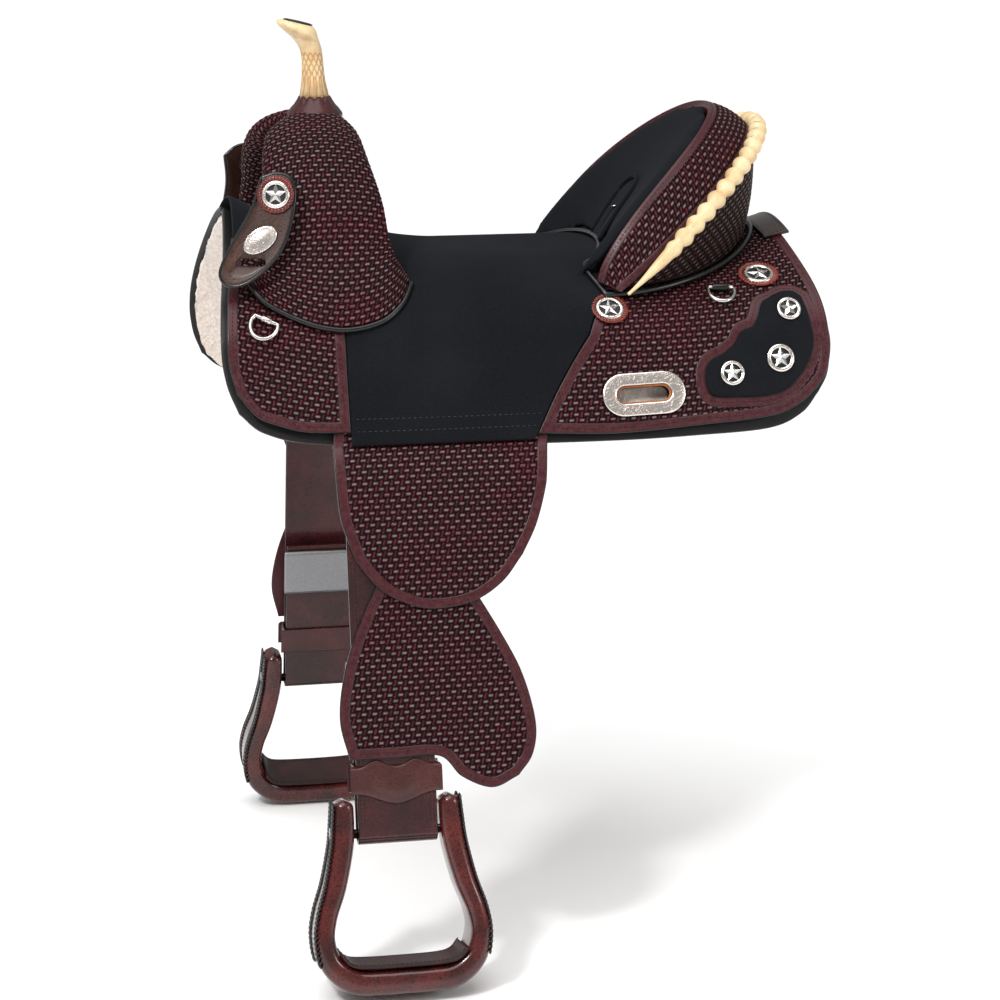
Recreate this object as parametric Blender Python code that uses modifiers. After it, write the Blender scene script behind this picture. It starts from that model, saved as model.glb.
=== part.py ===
"""Western barrel saddle, modelled as separate leather, rawhide, metal and tree pieces.

Metres, +Z up. -X is the front (horn), -Y the near side. The origin lies on the centre
plane at the crown of the channel that sits over the horse's spine. The two flanks are one
"drape" surface, and every leather layer is laid on it at its own distance from the horse.
"""

import math

import bmesh
import bpy
import numpy as np
from mathutils import Matrix, Vector

# ---------------------------------------------------------------- driving dimensions
GAP = 0.0006  # between touching layers
LOOSE = 0.0012  # between layers whose facets do not line up
NEAR, OFF = -1, 1
SIDES = ((NEAR, "near"), (OFF, "off"))

# half section of the horse's side of the fleece: crown, shoulder, lowest edge (y, z)
CROWN_REACH = 0.05
SHOULDER = np.array([0.140, -0.032])
HEM = np.array([0.1763, -0.128])
SHOULDER_EASE = 0.03
WITHER_START, WITHER_RUN, WITHER_RISE = -0.06, 0.23, 0.076
LOIN_START, LOIN_RUN, LOIN_RISE = 0.10, 0.18, 0.034

# layers, as distances of their middle from the horse's side
FLEECE_THICK, SKIRT_THICK, BAR_THICK, JOCKEY_THICK = 0.012, 0.004, 0.008, 0.003
FLEECE_T = FLEECE_THICK / 2
SKIRT_T = FLEECE_THICK + GAP + SKIRT_THICK / 2
SKIRT_TOP_T = SKIRT_T + SKIRT_THICK / 2
BAR_T = SKIRT_TOP_T + LOOSE + BAR_THICK / 2
BAR_TOP_T = BAR_T + BAR_THICK / 2
JOCKEY_T, JOCKEY_OVER_BAR_T = 0.0270, 0.0287
SEAT_T, SEAT_CROWN_T = 0.0270, 0.0465
OUTER_T = JOCKEY_T + JOCKEY_THICK / 2
BAR_HEM_S = 0.55  # how far round the section the tree bars reach, 0 crown to 1 hem

# fork, horn and cantle
FORK_WALL = 0.003
HORN_X, HORN_BASE_Z = -0.1868, 0.1935
CANTLE_HALF, ROLL_HALF, BACK_HALF, FACE_HALF = 0.135, 0.152, 0.135, 0.116
CANTLE_SKIN = 0.30  # share of the way to the middle that the cantle's covers take
CANTLE_CORE_REACH = math.radians(82.0)  # how far round its arch the cantle's core goes

# legs
LEAN = math.radians(12.0)
LIFT_Y, LIFT_Z = 0.2042, -0.1245
STRAP_X, STRAP_WIDTH, STRAP_THICK = -0.1550, 0.076, 0.0035
FLAP_THICK = 0.003
BOLT_L, BOLT_RADIUS = 0.3575, 0.0045
STIRRUP_X = -0.1555

# hardware
RING_WIRE, RING_HALF, RING_DROP = 0.0020, 0.0130, 0.0210
RIG_PLACE, RIG_HALF, RIG_HIGH, RIG_THICK = (0.1036, -0.0779), 0.0415, 0.0210, 0.0025
SLOT_HALF, SLOT_HIGH = 0.0275, 0.0088

FINISHES = {
    "burgundy": ((0.085, 0.020, 0.022), 0.42, 0.0),
    "suede": ((0.014, 0.017, 0.021), 0.95, 0.0),
    "skirt": ((0.020, 0.018, 0.018), 0.60, 0.0),
    "fleece": ((0.80, 0.68, 0.62), 1.0, 0.0),
    "rawhide": ((0.83, 0.68, 0.42), 0.45, 0.0),
    "piping": ((0.008, 0.008, 0.009), 0.18, 0.0),
    "keeper": ((0.13, 0.05, 0.025), 0.45, 0.0),
    "silver": ((0.78, 0.76, 0.73), 0.25, 1.0),
    "steel": ((0.60, 0.60, 0.62), 0.30, 1.0),
    "mahogany": ((0.10, 0.025, 0.018), 0.25, 0.0),
    "tree": ((0.55, 0.40, 0.22), 0.60, 0.0),
}


# ---------------------------------------------------------------- scene helpers
def start_scene():
    for thing in list(bpy.data.objects):
        bpy.data.objects.remove(thing, do_unlink=True)
    parts = bpy.data.collections.new("western_saddle")
    cutters = bpy.data.collections.new("cutters")
    bpy.context.scene.collection.children.link(parts)
    bpy.context.scene.collection.children.link(cutters)
    return parts, cutters


PARTS, CUTTERS = start_scene()
MATERIALS = {}


def finish(name):
    if name not in MATERIALS:
        colour, roughness, metallic = FINISHES[name]
        material = bpy.data.materials.new(name)
        material.use_nodes = True
        shader = material.node_tree.nodes["Principled BSDF"]
        shader.inputs["Base Color"].default_value = (*colour, 1.0)
        shader.inputs["Roughness"].default_value = roughness
        shader.inputs["Metallic"].default_value = metallic
        material.diffuse_color = (*colour, 1.0)
        MATERIALS[name] = material
    return MATERIALS[name]


def add_object(name, data, look, origin=(0.0, 0.0, 0.0)):
    """Link one named part; its data is given about the origin."""
    thing = bpy.data.objects.new(name, data)
    thing.location = origin
    PARTS.objects.link(thing)
    thing.data.materials.append(finish(look).copy())
    thing.data.materials[0].name = name
    return thing


def mesh_object(name, points, faces, look, origin=(0.0, 0.0, 0.0), smooth=True):
    mesh = bpy.data.meshes.new(name)
    moved = [tuple(np.asarray(p, float) - np.asarray(origin, float)) for p in points]
    mesh.from_pydata(moved, [], faces)
    shell = bmesh.new()
    shell.from_mesh(mesh)
    bmesh.ops.recalc_face_normals(shell, faces=shell.faces)
    shell.to_mesh(mesh)
    shell.free()
    for face in mesh.polygons:
        face.use_smooth = smooth
    return add_object(name, mesh, look, origin)


def thicken(thing, thickness, offset=0.0):
    solid = thing.modifiers.new("thickness", "SOLIDIFY")
    solid.thickness = thickness
    solid.offset = offset
    solid.use_even_offset = True
    return thing


def cut(thing, cutter):
    hole = thing.modifiers.new("cut", "BOOLEAN")
    hole.operation = "DIFFERENCE"
    hole.solver = "EXACT"
    hole.object = cutter
    return thing


def make_cutter(name, rings):
    cutter = ring_loft(name, rings, "steel")
    PARTS.objects.unlink(cutter)
    CUTTERS.objects.link(cutter)
    cutter.hide_render = True
    cutter.display_type = "WIRE"
    return cutter


def grid_faces(rows, columns, wrap=False):
    faces = []
    last = columns if wrap else columns - 1
    for i in range(rows - 1):
        for j in range(last):
            k = (j + 1) % columns
            a, b = i * columns + j, i * columns + k
            faces.append((a, b, b + columns, a + columns))
    return faces


def smooth_path(points, count):
    """Evenly spaced points along a curve that passes smoothly through the given ones."""
    p = np.asarray(points, float)
    p = np.vstack([2 * p[0] - p[1], p, 2 * p[-1] - p[-2]])
    fine = []
    for i in range(1, len(p) - 2):
        for u in np.linspace(0, 1, 12, endpoint=False):
            a, b, c, d = p[i - 1], p[i], p[i + 1], p[i + 2]
            fine.append(
                0.5 * (2 * b + (c - a) * u + (2 * a - 5 * b + 4 * c - d) * u**2
                       + (3 * b - a - 3 * c + d) * u**3)
            )
    fine.append(p[-2])
    fine = np.array(fine)
    steps = np.concatenate([[0], np.cumsum(np.linalg.norm(np.diff(fine, axis=0), axis=1))])
    where = np.linspace(0, steps[-1], count)
    return np.stack([np.interp(where, steps, fine[:, k]) for k in range(fine.shape[1])], 1)


def ring_loft(name, rings, look, origin=(0.0, 0.0, 0.0), caps=True):
    """A body through rings of equally many points, closed by its end rings."""
    count = len(rings[0])
    points = [p for ring in rings for p in ring]
    faces = grid_faces(len(rings), count, wrap=True)
    if caps:
        faces.append(tuple(range(count)))
        faces.append(tuple(range(len(points) - count, len(points))))
    return mesh_object(name, points, faces, look, origin)


def tube(name, path, radius, look, closed=False, origin=(0.0, 0.0, 0.0), around=2):
    curve = bpy.data.curves.new(name, "CURVE")
    curve.dimensions = "3D"
    curve.bevel_depth = radius
    curve.bevel_resolution = around
    curve.use_fill_caps = not closed
    line = curve.splines.new("POLY")
    line.points.add(len(path) - 1)
    for point, place in zip(line.points, path):
        point.co = (*(np.asarray(place) - np.asarray(origin)), 1.0)
    line.use_cyclic_u = closed
    line.use_smooth = True
    return add_object(name, curve, look, origin)


# ---------------------------------------------------------------- the drape surface
def crown_height(x):
    wither = max(0.0, (WITHER_START - x) / WITHER_RUN)
    loin = max(0.0, (x - LOIN_START) / LOIN_RUN)
    return WITHER_RISE * wither**1.6 + LOIN_RISE * loin**1.6


def section(x, steps=40):
    """Points of the half section at x with their outward normals, crown to hem."""
    crown = crown_height(x)
    up = (SHOULDER - HEM) / np.linalg.norm(SHOULDER - HEM)
    a, b = np.array([0.0, crown]), np.array([CROWN_REACH, crown])
    c = SHOULDER + SHOULDER_EASE * up
    u = np.linspace(0, 1, steps)[:, None]
    upper = (1 - u)**3 * a + 3 * u * (1 - u)**2 * b + 3 * u**2 * (1 - u) * c + u**3 * SHOULDER
    lower = SHOULDER + (HEM - SHOULDER) * np.linspace(0, 1, steps)[1:, None]
    points = np.vstack([upper, lower])
    length = np.concatenate([[0], np.cumsum(np.linalg.norm(np.diff(points, axis=0), axis=1))])
    along = np.gradient(points, length, axis=0)
    along /= np.linalg.norm(along, axis=1)[:, None]
    normals = np.stack([-along[:, 1], along[:, 0]], 1)
    return length / length[-1], points, normals


SECTIONS = {}


def section_at(x):
    key = round(float(x), 4)
    if key not in SECTIONS:
        SECTIONS[key] = section(key)
    return SECTIONS[key]


def on_section(x, s):
    """Place and outward normal in the section at x, s round it."""
    shares, points, normals = section_at(x)
    place = np.array([np.interp(s, shares, points[:, k]) for k in (0, 1)])
    out = np.array([np.interp(s, shares, normals[:, k]) for k in (0, 1)])
    return place, out / np.linalg.norm(out)


def drape_normal(x, s):
    out = on_section(x, abs(s))[1]
    ahead, behind = (on_section(x + step, abs(s))[0] for step in (0.004, -0.004))
    slope = (ahead - behind) / 0.008
    normal = np.array([-out @ slope, math.copysign(1, s) * out[0], out[1]])
    return normal / np.linalg.norm(normal)


def drape(x, s, t):
    """The point at station x, s round the section (negative near side), t off the horse."""
    y, z = on_section(x, abs(s))[0]
    return np.array([x, math.copysign(1, s) * y, z]) + drape_normal(x, s) * t


def s_at_height(x, z):
    """How far round the section the outer leather stands at height z."""
    shares = np.linspace(0, 1, 81)
    heights = np.array([drape(x, s, OUTER_T)[2] for s in shares])
    return float(np.interp(-z, -heights, shares))


def skin_height(x, y, t):
    shares = np.linspace(0, 1, 61)
    places = np.array([drape(x, s, t) for s in shares])
    return float(np.interp(abs(y), places[:, 1], places[:, 2]))


def ease(value, low, high):
    """0 below low, 1 above high, smooth between."""
    u = min(1.0, max(0.0, (value - low) / (high - low)))
    return u * u * (3 - 2 * u)


def jockey_t(s):
    return JOCKEY_OVER_BAR_T + (JOCKEY_T - JOCKEY_OVER_BAR_T) * ease(abs(s), 0.60, 0.72)


def seat_t(s):
    return SEAT_CROWN_T + (SEAT_T - SEAT_CROWN_T) * ease(abs(s), 0.22, 0.64)


def top_t(s):
    return max(jockey_t(s), seat_t(s)) + JOCKEY_THICK / 2


def constant(value):
    return lambda s: value


def outline(points):
    """(x, height) pairs as (x, s) pairs."""
    return [(x, s_at_height(x, z)) for x, z in points]


def patch(left, right, top, bottom):
    """Fills the four edges of an outline with an even grid of (x, s)."""
    rows, columns = len(left), len(top)
    grid = np.zeros((rows, columns, 2))
    for i in range(rows):
        v = i / (rows - 1)
        for j in range(columns):
            u = j / (columns - 1)
            ruled = (1 - u) * left[i] + u * right[i] + (1 - v) * top[j] + v * bottom[j]
            corners = ((1 - u) * (1 - v) * top[0] + u * (1 - v) * top[-1]
                       + (1 - u) * v * bottom[0] + u * v * bottom[-1])
            grid[i, j] = ruled - corners
    return grid


def panel(name, side, edges, t_of, thickness, look, rows=14, columns=14):
    """A leather panel on the drape; edges are (x, s) lists for left, right, top, bottom."""
    left, right = (smooth_path(edges[k], rows) for k in ("left", "right"))
    top, bottom = (smooth_path(edges[k], columns) for k in ("top", "bottom"))
    grid = patch(left, right, top, bottom)
    points = [drape(x, side * s, t_of(s)) for x, s in grid.reshape(-1, 2)]
    thing = mesh_object(name, points, grid_faces(rows, columns), look)
    return thicken(thing, thickness)


def frame_on_skin(x, z, side, t, turn=0.0):
    """A frame on the side: columns are along, up the section, outward; then the place."""
    s = side * s_at_height(x, z)
    place = drape(x, s, t)
    out = drape_normal(x, s)
    along = np.array([1.0, 0.0, 0.0]) - out[0] * out
    along /= np.linalg.norm(along)
    up = np.cross(out, along)
    up *= math.copysign(1, up[2])
    c, n = math.cos(turn), math.sin(turn)
    return c * along + n * up, c * up - n * along, out, place


def local_point(axes, a, b, c):
    along, up, out, place = axes
    return place + a * along + b * up + c * out


# ---------------------------------------------------------------- skirts, fleece, tree bars
SKIRT_EDGES = {
    "top": [(-0.288, 0.015), (-0.10, 0.015), (0.10, 0.015), (0.288, 0.015)],
    "left": [(-0.288, 0.015)] + outline([(-0.292, 0.070), (-0.300, -0.007), (-0.2975, -0.051),
                                         (-0.287, -0.080)]),
    "bottom": outline([(-0.287, -0.080), (-0.262, -0.099), (-0.204, -0.1105), (-0.041, -0.1160),
                       (0.0765, -0.1172), (0.1563, -0.1155), (0.2300, -0.1115),
                       (0.2640, -0.0990), (0.2830, -0.0800)]),
    "right": [(0.288, 0.015)] + outline([(0.2895, 0.040), (0.2950, 0.002), (0.2985, -0.034),
                                         (0.2940, -0.062), (0.2830, -0.0800)]),
}
FRONT_SPLIT_X = -0.1835
WITHER_S = 0.255


def make_skirts():
    for side, word in SIDES:
        panel(f"fleece_{word}", side, SKIRT_EDGES, constant(FLEECE_T), FLEECE_THICK,
              "fleece", 18, 16)
        skirt = panel(f"skirt_{word}", side, SKIRT_EDGES, constant(SKIRT_T), SKIRT_THICK,
                      "skirt", 18, 16)
        cut(skirt, slot_cutter(side, word, "skirt"))
        bar_edges = {
            "top": [(-0.200, 0.10), (0.0, 0.09), (0.215, 0.10)],
            "left": [(-0.200, 0.10), (-0.225, 0.30), (-0.205, BAR_HEM_S)],
            "bottom": [(-0.205, BAR_HEM_S), (0.0, BAR_HEM_S - 0.02), (0.215, BAR_HEM_S)],
            "right": [(0.215, 0.10), (0.245, 0.30), (0.215, BAR_HEM_S)],
        }
        panel(f"tree_bar_{word}", side, bar_edges, constant(BAR_T), BAR_THICK, "tree", 11, 10)


# ---------------------------------------------------------------- seat and jockeys
SEAT_REAR = [(0.0990, 0.0), (0.0960, 0.25), (0.0840, 0.47), (0.0551, 0.584),
             (0.0215, 0.779), (-0.0064, 0.985)]


def make_seat():
    front = [(FRONT_SPLIT_X + GAP, s) for s in (-0.985, -0.5, 0.0, 0.5, 0.985)]
    rear = [(x, -s) for x, s in reversed(SEAT_REAR)] + SEAT_REAR[1:]
    rows, columns = 37, 8
    left, right = smooth_path(front, rows), smooth_path(rear, rows)
    grid = patch(left, right, smooth_path([left[0], right[0]], columns),
                 smooth_path([left[-1], right[-1]], columns))
    points = [drape(x, s, seat_t(s)) for x, s in grid.reshape(-1, 2)]
    thicken(mesh_object("seat", points, grid_faces(rows, columns), "suede"), JOCKEY_THICK)
    ground_t = BAR_TOP_T + LOOSE + 0.001
    shell_across("ground_seat", -0.105, 0.085, 0.42, ground_t, 0.002, "tree")


def shell_across(name, x_front, x_rear, reach, t, thickness, look):
    """A shell that crosses the crown from near side to off side."""
    rows, columns = 21, 5
    stations = np.linspace(x_front, x_rear, columns)
    points = [drape(x, s, t) for s in np.linspace(-reach, reach, rows) for x in stations]
    thicken(mesh_object(name, points, grid_faces(rows, columns), look), thickness)


def make_jockeys():
    front_edges = {
        "top": [(-0.2885, WITHER_S), (FRONT_SPLIT_X, WITHER_S)],
        "left": [(-0.2885, WITHER_S)] + outline([(-0.2935, 0.018), (-0.2955, -0.0335),
                                                 (-0.2890, -0.064)]),
        "bottom": outline([(-0.2890, -0.064), (-0.272, -0.0850), (-0.2506, -0.0942),
                           (-0.2250, -0.1005), (FRONT_SPLIT_X, -0.1025)]),
        "right": [(FRONT_SPLIT_X, WITHER_S), (FRONT_SPLIT_X, 0.6)]
                 + outline([(FRONT_SPLIT_X, -0.1025)]),
    }
    rear_left = [(x + LOOSE, max(s, 0.015)) for x, s in SEAT_REAR[:-1]]
    rear_left += [(-0.0030, 0.965)]
    rear_edges = {
        "top": [rear_left[0], (0.20, 0.015), (0.2860, 0.015)],
        "left": rear_left,
        "bottom": [rear_left[-1]] + outline([(0.0765, -0.1125), (0.157, -0.1080),
                                             (0.228, -0.1025), (0.2592, -0.0918),
                                             (0.2780, -0.0780)]),
        "right": [(0.2860, 0.015)] + outline([(0.2865, 0.0392), (0.2930, -0.0067),
                                              (0.2955, -0.0391), (0.2890, -0.0640),
                                              (0.2780, -0.0780)]),
    }
    inlay_edges = {
        "top": outline([(0.2430, 0.0040), (0.2520, 0.0080), (0.2640, 0.0082), (0.2715, 0.0040)]),
        "left": outline([(0.2430, 0.0040), (0.2270, -0.0060), (0.2140, -0.0190),
                         (0.2000, -0.0300), (0.1800, -0.0450), (0.1680, -0.0560)]),
        "bottom": outline([(0.1680, -0.0560), (0.1665, -0.0700), (0.1730, -0.0822),
                           (0.2000, -0.0838), (0.2276, -0.0832), (0.2480, -0.0775),
                           (0.2650, -0.0625)]),
        "right": outline([(0.2715, 0.0040), (0.2773, -0.0291), (0.2750, -0.0450),
                          (0.2650, -0.0625)]),
    }
    for side, word in SIDES:
        panel(f"front_jockey_{word}", side, front_edges, jockey_t, JOCKEY_THICK, "burgundy",
              14, 8)
        rear = panel(f"rear_jockey_{word}", side, rear_edges, jockey_t, JOCKEY_THICK,
                     "burgundy", 16, 9)
        cut(rear, slot_cutter(side, word, "rear_jockey"))
        inlay_t = OUTER_T + LOOSE + 0.0008
        panel(f"jockey_inlay_{word}", side, inlay_edges,
              lambda s: inlay_t + jockey_t(s) - JOCKEY_T, 0.002, "suede", 9, 9)
    shell_across("wither_cover", -0.2870, FRONT_SPLIT_X - GAP, WITHER_S - 0.006,
                 JOCKEY_OVER_BAR_T, JOCKEY_THICK, "suede")
    housing_t = JOCKEY_OVER_BAR_T + JOCKEY_THICK / 2 + GAP + 0.0015
    shell_across("rear_housing", 0.2740, 0.2920, 0.19, housing_t, 0.003, "burgundy")


# ---------------------------------------------------------------- rigging plates and slots
def stadium(half, high, steps=8):
    """A flat outline with round ends, its long side along the first axis."""
    points = []
    for centre, start in ((half - high, -math.pi / 2), (high - half, math.pi / 2)):
        for k in range(steps + 1):
            angle = start + math.pi * k / steps
            points.append((centre + high * math.cos(angle), high * math.sin(angle)))
    return points


def rig_axes(side, t):
    return frame_on_skin(*RIG_PLACE, side, t, math.radians(2.0))


def slot_cutter(side, word, owner):
    axes = rig_axes(side, 0.0)
    shape = stadium(SLOT_HALF, SLOT_HIGH)
    low, high = FLEECE_THICK + GAP / 2, OUTER_T + 0.003
    rings = [[local_point(axes, a, b, level) for a, b in shape] for level in (low, high)]
    return make_cutter(f"cut_{owner}_{word}", rings)


def make_rig_plates():
    for side, word in SIDES:
        along, up, out, place = rig_axes(side, OUTER_T + GAP + RIG_THICK / 2)
        curve = bpy.data.curves.new(f"rig_plate_{word}", "CURVE")
        curve.dimensions = "2D"
        curve.fill_mode = "BOTH"
        curve.extrude = RIG_THICK / 2
        for shape in (stadium(RIG_HALF, RIG_HIGH, 10), stadium(SLOT_HALF, SLOT_HIGH, 8)):
            line = curve.splines.new("POLY")
            line.points.add(len(shape) - 1)
            for point, (a, b) in zip(line.points, shape):
                point.co = (a, b, 0.0, 1.0)
            line.use_cyclic_u = True
        plate = add_object(f"rig_plate_{word}", curve, "silver")
        turn = Matrix((along, up, out)).transposed().to_4x4()
        plate.matrix_world = Matrix.Translation(Vector(place)) @ turn


# ---------------------------------------------------------------- fork and horn
# middle of the arch from the top down the side: y, z, x, half length, half thickness
FORK_STATIONS = [
    (0.000, 0.1730, -0.1890, 0.0270, 0.0130),
    (0.045, 0.1610, -0.1960, 0.0450, 0.0180),
    (0.082, 0.1380, -0.1980, 0.0520, 0.0210),
    (0.108, 0.1020, -0.1930, 0.0560, 0.0210),
    (0.124, 0.0620, -0.1930, 0.0620, 0.0170),
]
FORK_HEM = [(-0.2780, 0.0323), (-0.2594, 0.0150), (-0.2342, 0.0035), (-0.2065, -0.0045),
            (-0.1781, -0.0066), (-0.1480, -0.0020), (-0.1270, 0.0075), (-0.1150, 0.0180)]
FORK_AROUND = 20


def fork_ring(station, side, shrink):
    y, z, x, half, thick = station
    rise = math.atan2(z - 0.03, y + 1e-6)
    out = np.array([0.0, side * math.cos(rise), math.sin(rise)])
    ring = []
    for k in range(FORK_AROUND):
        angle = 2 * math.pi * k / FORK_AROUND
        c, n = math.cos(angle), math.sin(angle)
        along = (half - shrink) * math.copysign(abs(c)**0.85, c)
        off = (thick - shrink) * math.copysign(abs(n)**0.85, n)
        ring.append(np.array([x + along, side * y, z]) + out * off)
    return np.array(ring)


def fork_hem_ring(side, shrink):
    """The arch's last ring, which stands on the leather along the fork's lower edge."""
    path = smooth_path(FORK_HEM, 60)
    x_front, x_rear = path[0, 0], path[-1, 0]
    middle, half, thick = (x_front + x_rear) / 2, (x_rear - x_front) / 2, 0.0085
    ring = []
    for k in range(FORK_AROUND):
        angle = 2 * math.pi * k / FORK_AROUND
        c, n = math.cos(angle), math.sin(angle)
        x = middle + (half - shrink) * math.copysign(abs(c)**0.85, c)
        z = float(np.interp(x, path[:, 0], path[:, 1]))
        s = s_at_height(x, z) - shrink * 4
        off = (thick - shrink) * math.copysign(abs(n)**0.85, n)
        ring.append(drape(x, side * s, top_t(s) + GAP + thick + off))
    return np.array(ring)


def shrunk(ring, share):
    middle = ring.mean(axis=0)
    return middle + (ring - middle) * share


def fork_rings(shrink, count):
    near = [fork_hem_ring(NEAR, shrink)]
    near += [fork_ring(station, NEAR, shrink) for station in reversed(FORK_STATIONS)]
    off = [fork_ring(station, OFF, shrink) for station in FORK_STATIONS[1:]]
    off += [fork_hem_ring(OFF, shrink)]
    stack = np.array(near + off)
    flat = stack.reshape(len(stack), -1)
    return smooth_path(flat, count).reshape(count, FORK_AROUND, 3)


def make_fork():
    cover = ring_loft("fork_cover", fork_rings(0.0, 25), "burgundy", caps=False)
    thicken(cover, FORK_WALL, -1.0).modifiers["thickness"].use_even_offset = False
    core = fork_rings(FORK_WALL + LOOSE, 25)
    feet = [shrunk(core[k], 0.5) for k in (2, 22)]
    ring_loft("tree_fork", [feet[0], *core[5:20], feet[1]], "tree")
    for side, word in SIDES:
        route = []
        for x, z in smooth_path(FORK_HEM, 18):
            s = s_at_height(x, z) + 0.015
            route.append(drape(x, side * s, top_t(s) + 0.0040))
        tube(f"fork_piping_{word}", route, 0.0025, "piping")


def ring_at(x, z, radius_x, radius_y, pitch, count=18):
    """A ring round the horn; pitch tips its front up."""
    points = []
    for k in range(count):
        angle = 2 * math.pi * k / count
        a = radius_x * math.cos(angle)
        points.append((x + a * math.cos(pitch), radius_y * math.sin(angle),
                       z - a * math.sin(pitch)))
    return points


def make_horn():
    rod = [ring_at(HORN_X, z, 0.0060, 0.0060, 0.0, 14) for z in (HORN_BASE_Z - 0.003, 0.2440)]
    ring_loft("horn_core", rod, "steel")
    hole = [ring_at(HORN_X, z, 0.0064, 0.0064, 0.0, 14) for z in (0.180, 0.2444)]
    cutter = make_cutter("cut_horn", hole)
    profile = [(-0.1868, HORN_BASE_Z, 0.0155, 0.0), (-0.1870, 0.2010, 0.0135, 0.0),
               (-0.1878, 0.2150, 0.0112, 0.0), (-0.1886, 0.2340, 0.0102, 2.0),
               (-0.1902, 0.2440, 0.0112, 6.0), (-0.1940, 0.2520, 0.0142, 12.0),
               (-0.1985, 0.2590, 0.0185, 17.0)]
    neck = [ring_at(x, z, r, r, math.radians(pitch)) for x, z, r, pitch in profile]
    cut(ring_loft("horn_wrap", neck, "rawhide"), cutter)
    pitch = math.radians(18.0)
    lift = np.array([math.sin(pitch), 0.0, math.cos(pitch)])
    middle = np.array([-0.2025, 0.0, 0.2605]) + lift * (0.0010 + GAP)
    rings = []
    for height, share in ((0.0, 0.80), (0.0012, 0.95), (0.0035, 1.0), (0.0058, 0.95),
                          (0.0072, 0.75)):
        x, _, z = middle + lift * height
        rings.append(ring_at(x, z, 0.0215 * share, 0.0235 * share, pitch))
    ring_loft("horn_cap", rings, "rawhide")
    collar = []
    for radius, z in ((0.0066, 0.1885), (0.0205, 0.1885), (0.0215, 0.1900), (0.0195, 0.1925),
                      (0.0066, 0.1925)):
        collar.append([(HORN_X + radius * math.cos(a), radius * math.sin(a), z)
                       for a in np.linspace(0, 2 * math.pi, 24, endpoint=False)])
    ring_loft_closed("horn_collar", collar, "burgundy")


def ring_loft_closed(name, rings, look, origin=(0.0, 0.0, 0.0)):
    """A loop body: the last ring joins the first."""
    count, rows = len(rings[0]), len(rings)
    points = [p for ring in rings for p in ring]
    faces = []
    for i in range(rows):
        for j in range(count):
            k, n = (j + 1) % count, (i + 1) % rows
            faces.append((i * count + j, i * count + k, n * count + k, n * count + j))
    return mesh_object(name, points, faces, look, origin)


# ---------------------------------------------------------------- cantle
def cantle_profile(angle):
    """The cantle's section at an angle round its arch: face foot, rim, roll edge, back foot."""
    c, n = max(0.0, math.cos(angle)), math.sin(angle)
    foot_x, foot_y = 0.035 + 0.062 * c, FACE_HALF * n
    foot_s_height = skin_height(foot_x, foot_y, SEAT_CROWN_T + JOCKEY_THICK / 2 - 0.012 * (1 - c))
    foot = np.array([foot_x, foot_y, foot_s_height + 0.0030])
    rim = np.array([0.068 + 0.142 * c**0.9, CANTLE_HALF * n, 0.026 + 0.160 * c**0.62])
    edge = np.array([0.090 + 0.167 * c, ROLL_HALF * n, 0.016 + 0.144 * c])
    back_x, back_y = 0.078 + 0.172 * c, BACK_HALF * n
    back_t = JOCKEY_OVER_BAR_T + JOCKEY_THICK / 2 + 0.003 * (1 - c)
    back_z = skin_height(back_x, back_y, back_t) + 0.0025
    return foot, rim, edge, np.array([back_x, back_y, back_z])


def cantle_sector(name, first, last, look, steps=25):
    """One cover of the cantle: the outer strip between two corners of its section."""
    rings = []
    for angle in np.linspace(-math.pi / 2, math.pi / 2, steps):
        corners = cantle_profile(angle)
        middle = sum(corners) / 4
        a, b = corners[first], corners[last]
        along = (b - a) / np.linalg.norm(b - a)
        bulge = 0.05 * np.linalg.norm(b - a)
        out = (a + b) / 2 - middle
        out /= np.linalg.norm(out)
        outer = [a + along * GAP + (b - a - 2 * GAP * along) * u + out * bulge * 4 * u * (1 - u)
                 for u in np.linspace(0, 1, 6)]
        inner = [p + (middle - p) * CANTLE_SKIN for p in (outer[-1], outer[0])]
        rings.append(outer + inner)
    ring_loft(name, rings, look)


def make_cantle():
    cantle_sector("cantle_cushion", 0, 1, "suede")
    cantle_sector("cantle_roll", 1, 2, "burgundy")
    cantle_sector("cantle_back", 2, 3, "burgundy")
    core = []
    for angle in np.linspace(-CANTLE_CORE_REACH, CANTLE_CORE_REACH, 23):
        corners = cantle_profile(angle)
        middle = sum(corners) / 4
        core.append([p + (middle - p) * (CANTLE_SKIN + 0.42) for p in corners])
    ring_loft("tree_cantle", core, "tree")
    lacing, piping = [], []
    for angle in np.linspace(-math.pi / 2, math.pi / 2, 25):
        corners = cantle_profile(angle)
        middle = sum(corners) / 4
        out = corners[2] - middle
        out /= np.linalg.norm(out)
        lacing.append(corners[2] + out * 0.0080)
        c, n = max(0.0, math.cos(angle)), math.sin(angle)
        x, y = 0.076 + 0.1815 * c, 0.1435 * n
        height = skin_height(x, y, JOCKEY_OVER_BAR_T + JOCKEY_THICK / 2)
        piping.append((x, y, height + 0.0057 + 0.0004 * (1 - c)))
    tube("cantle_binding", lacing, 0.0055, "rawhide")
    tube("cantle_piping", piping, 0.0026, "piping")


# ---------------------------------------------------------------- rings and keepers
RING_PLACES = {"front": ((-0.2580, -0.0025), -28.0), "rear": ((0.1925, 0.0105), -5.0)}
RING_LIFT = 0.0050


def ring_outline():
    """A D in its own plane: straight bar along the first axis, bow hanging down."""
    points = [(-RING_HALF + RING_WIRE, 0.0), (0.0, 0.0), (RING_HALF - RING_WIRE, 0.0)]
    for k in range(13):
        angle = math.pi * k / 12
        points.append((RING_HALF * math.cos(angle),
                       -0.004 - (RING_DROP - 0.004) * math.sin(angle)**0.9))
    return points


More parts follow.
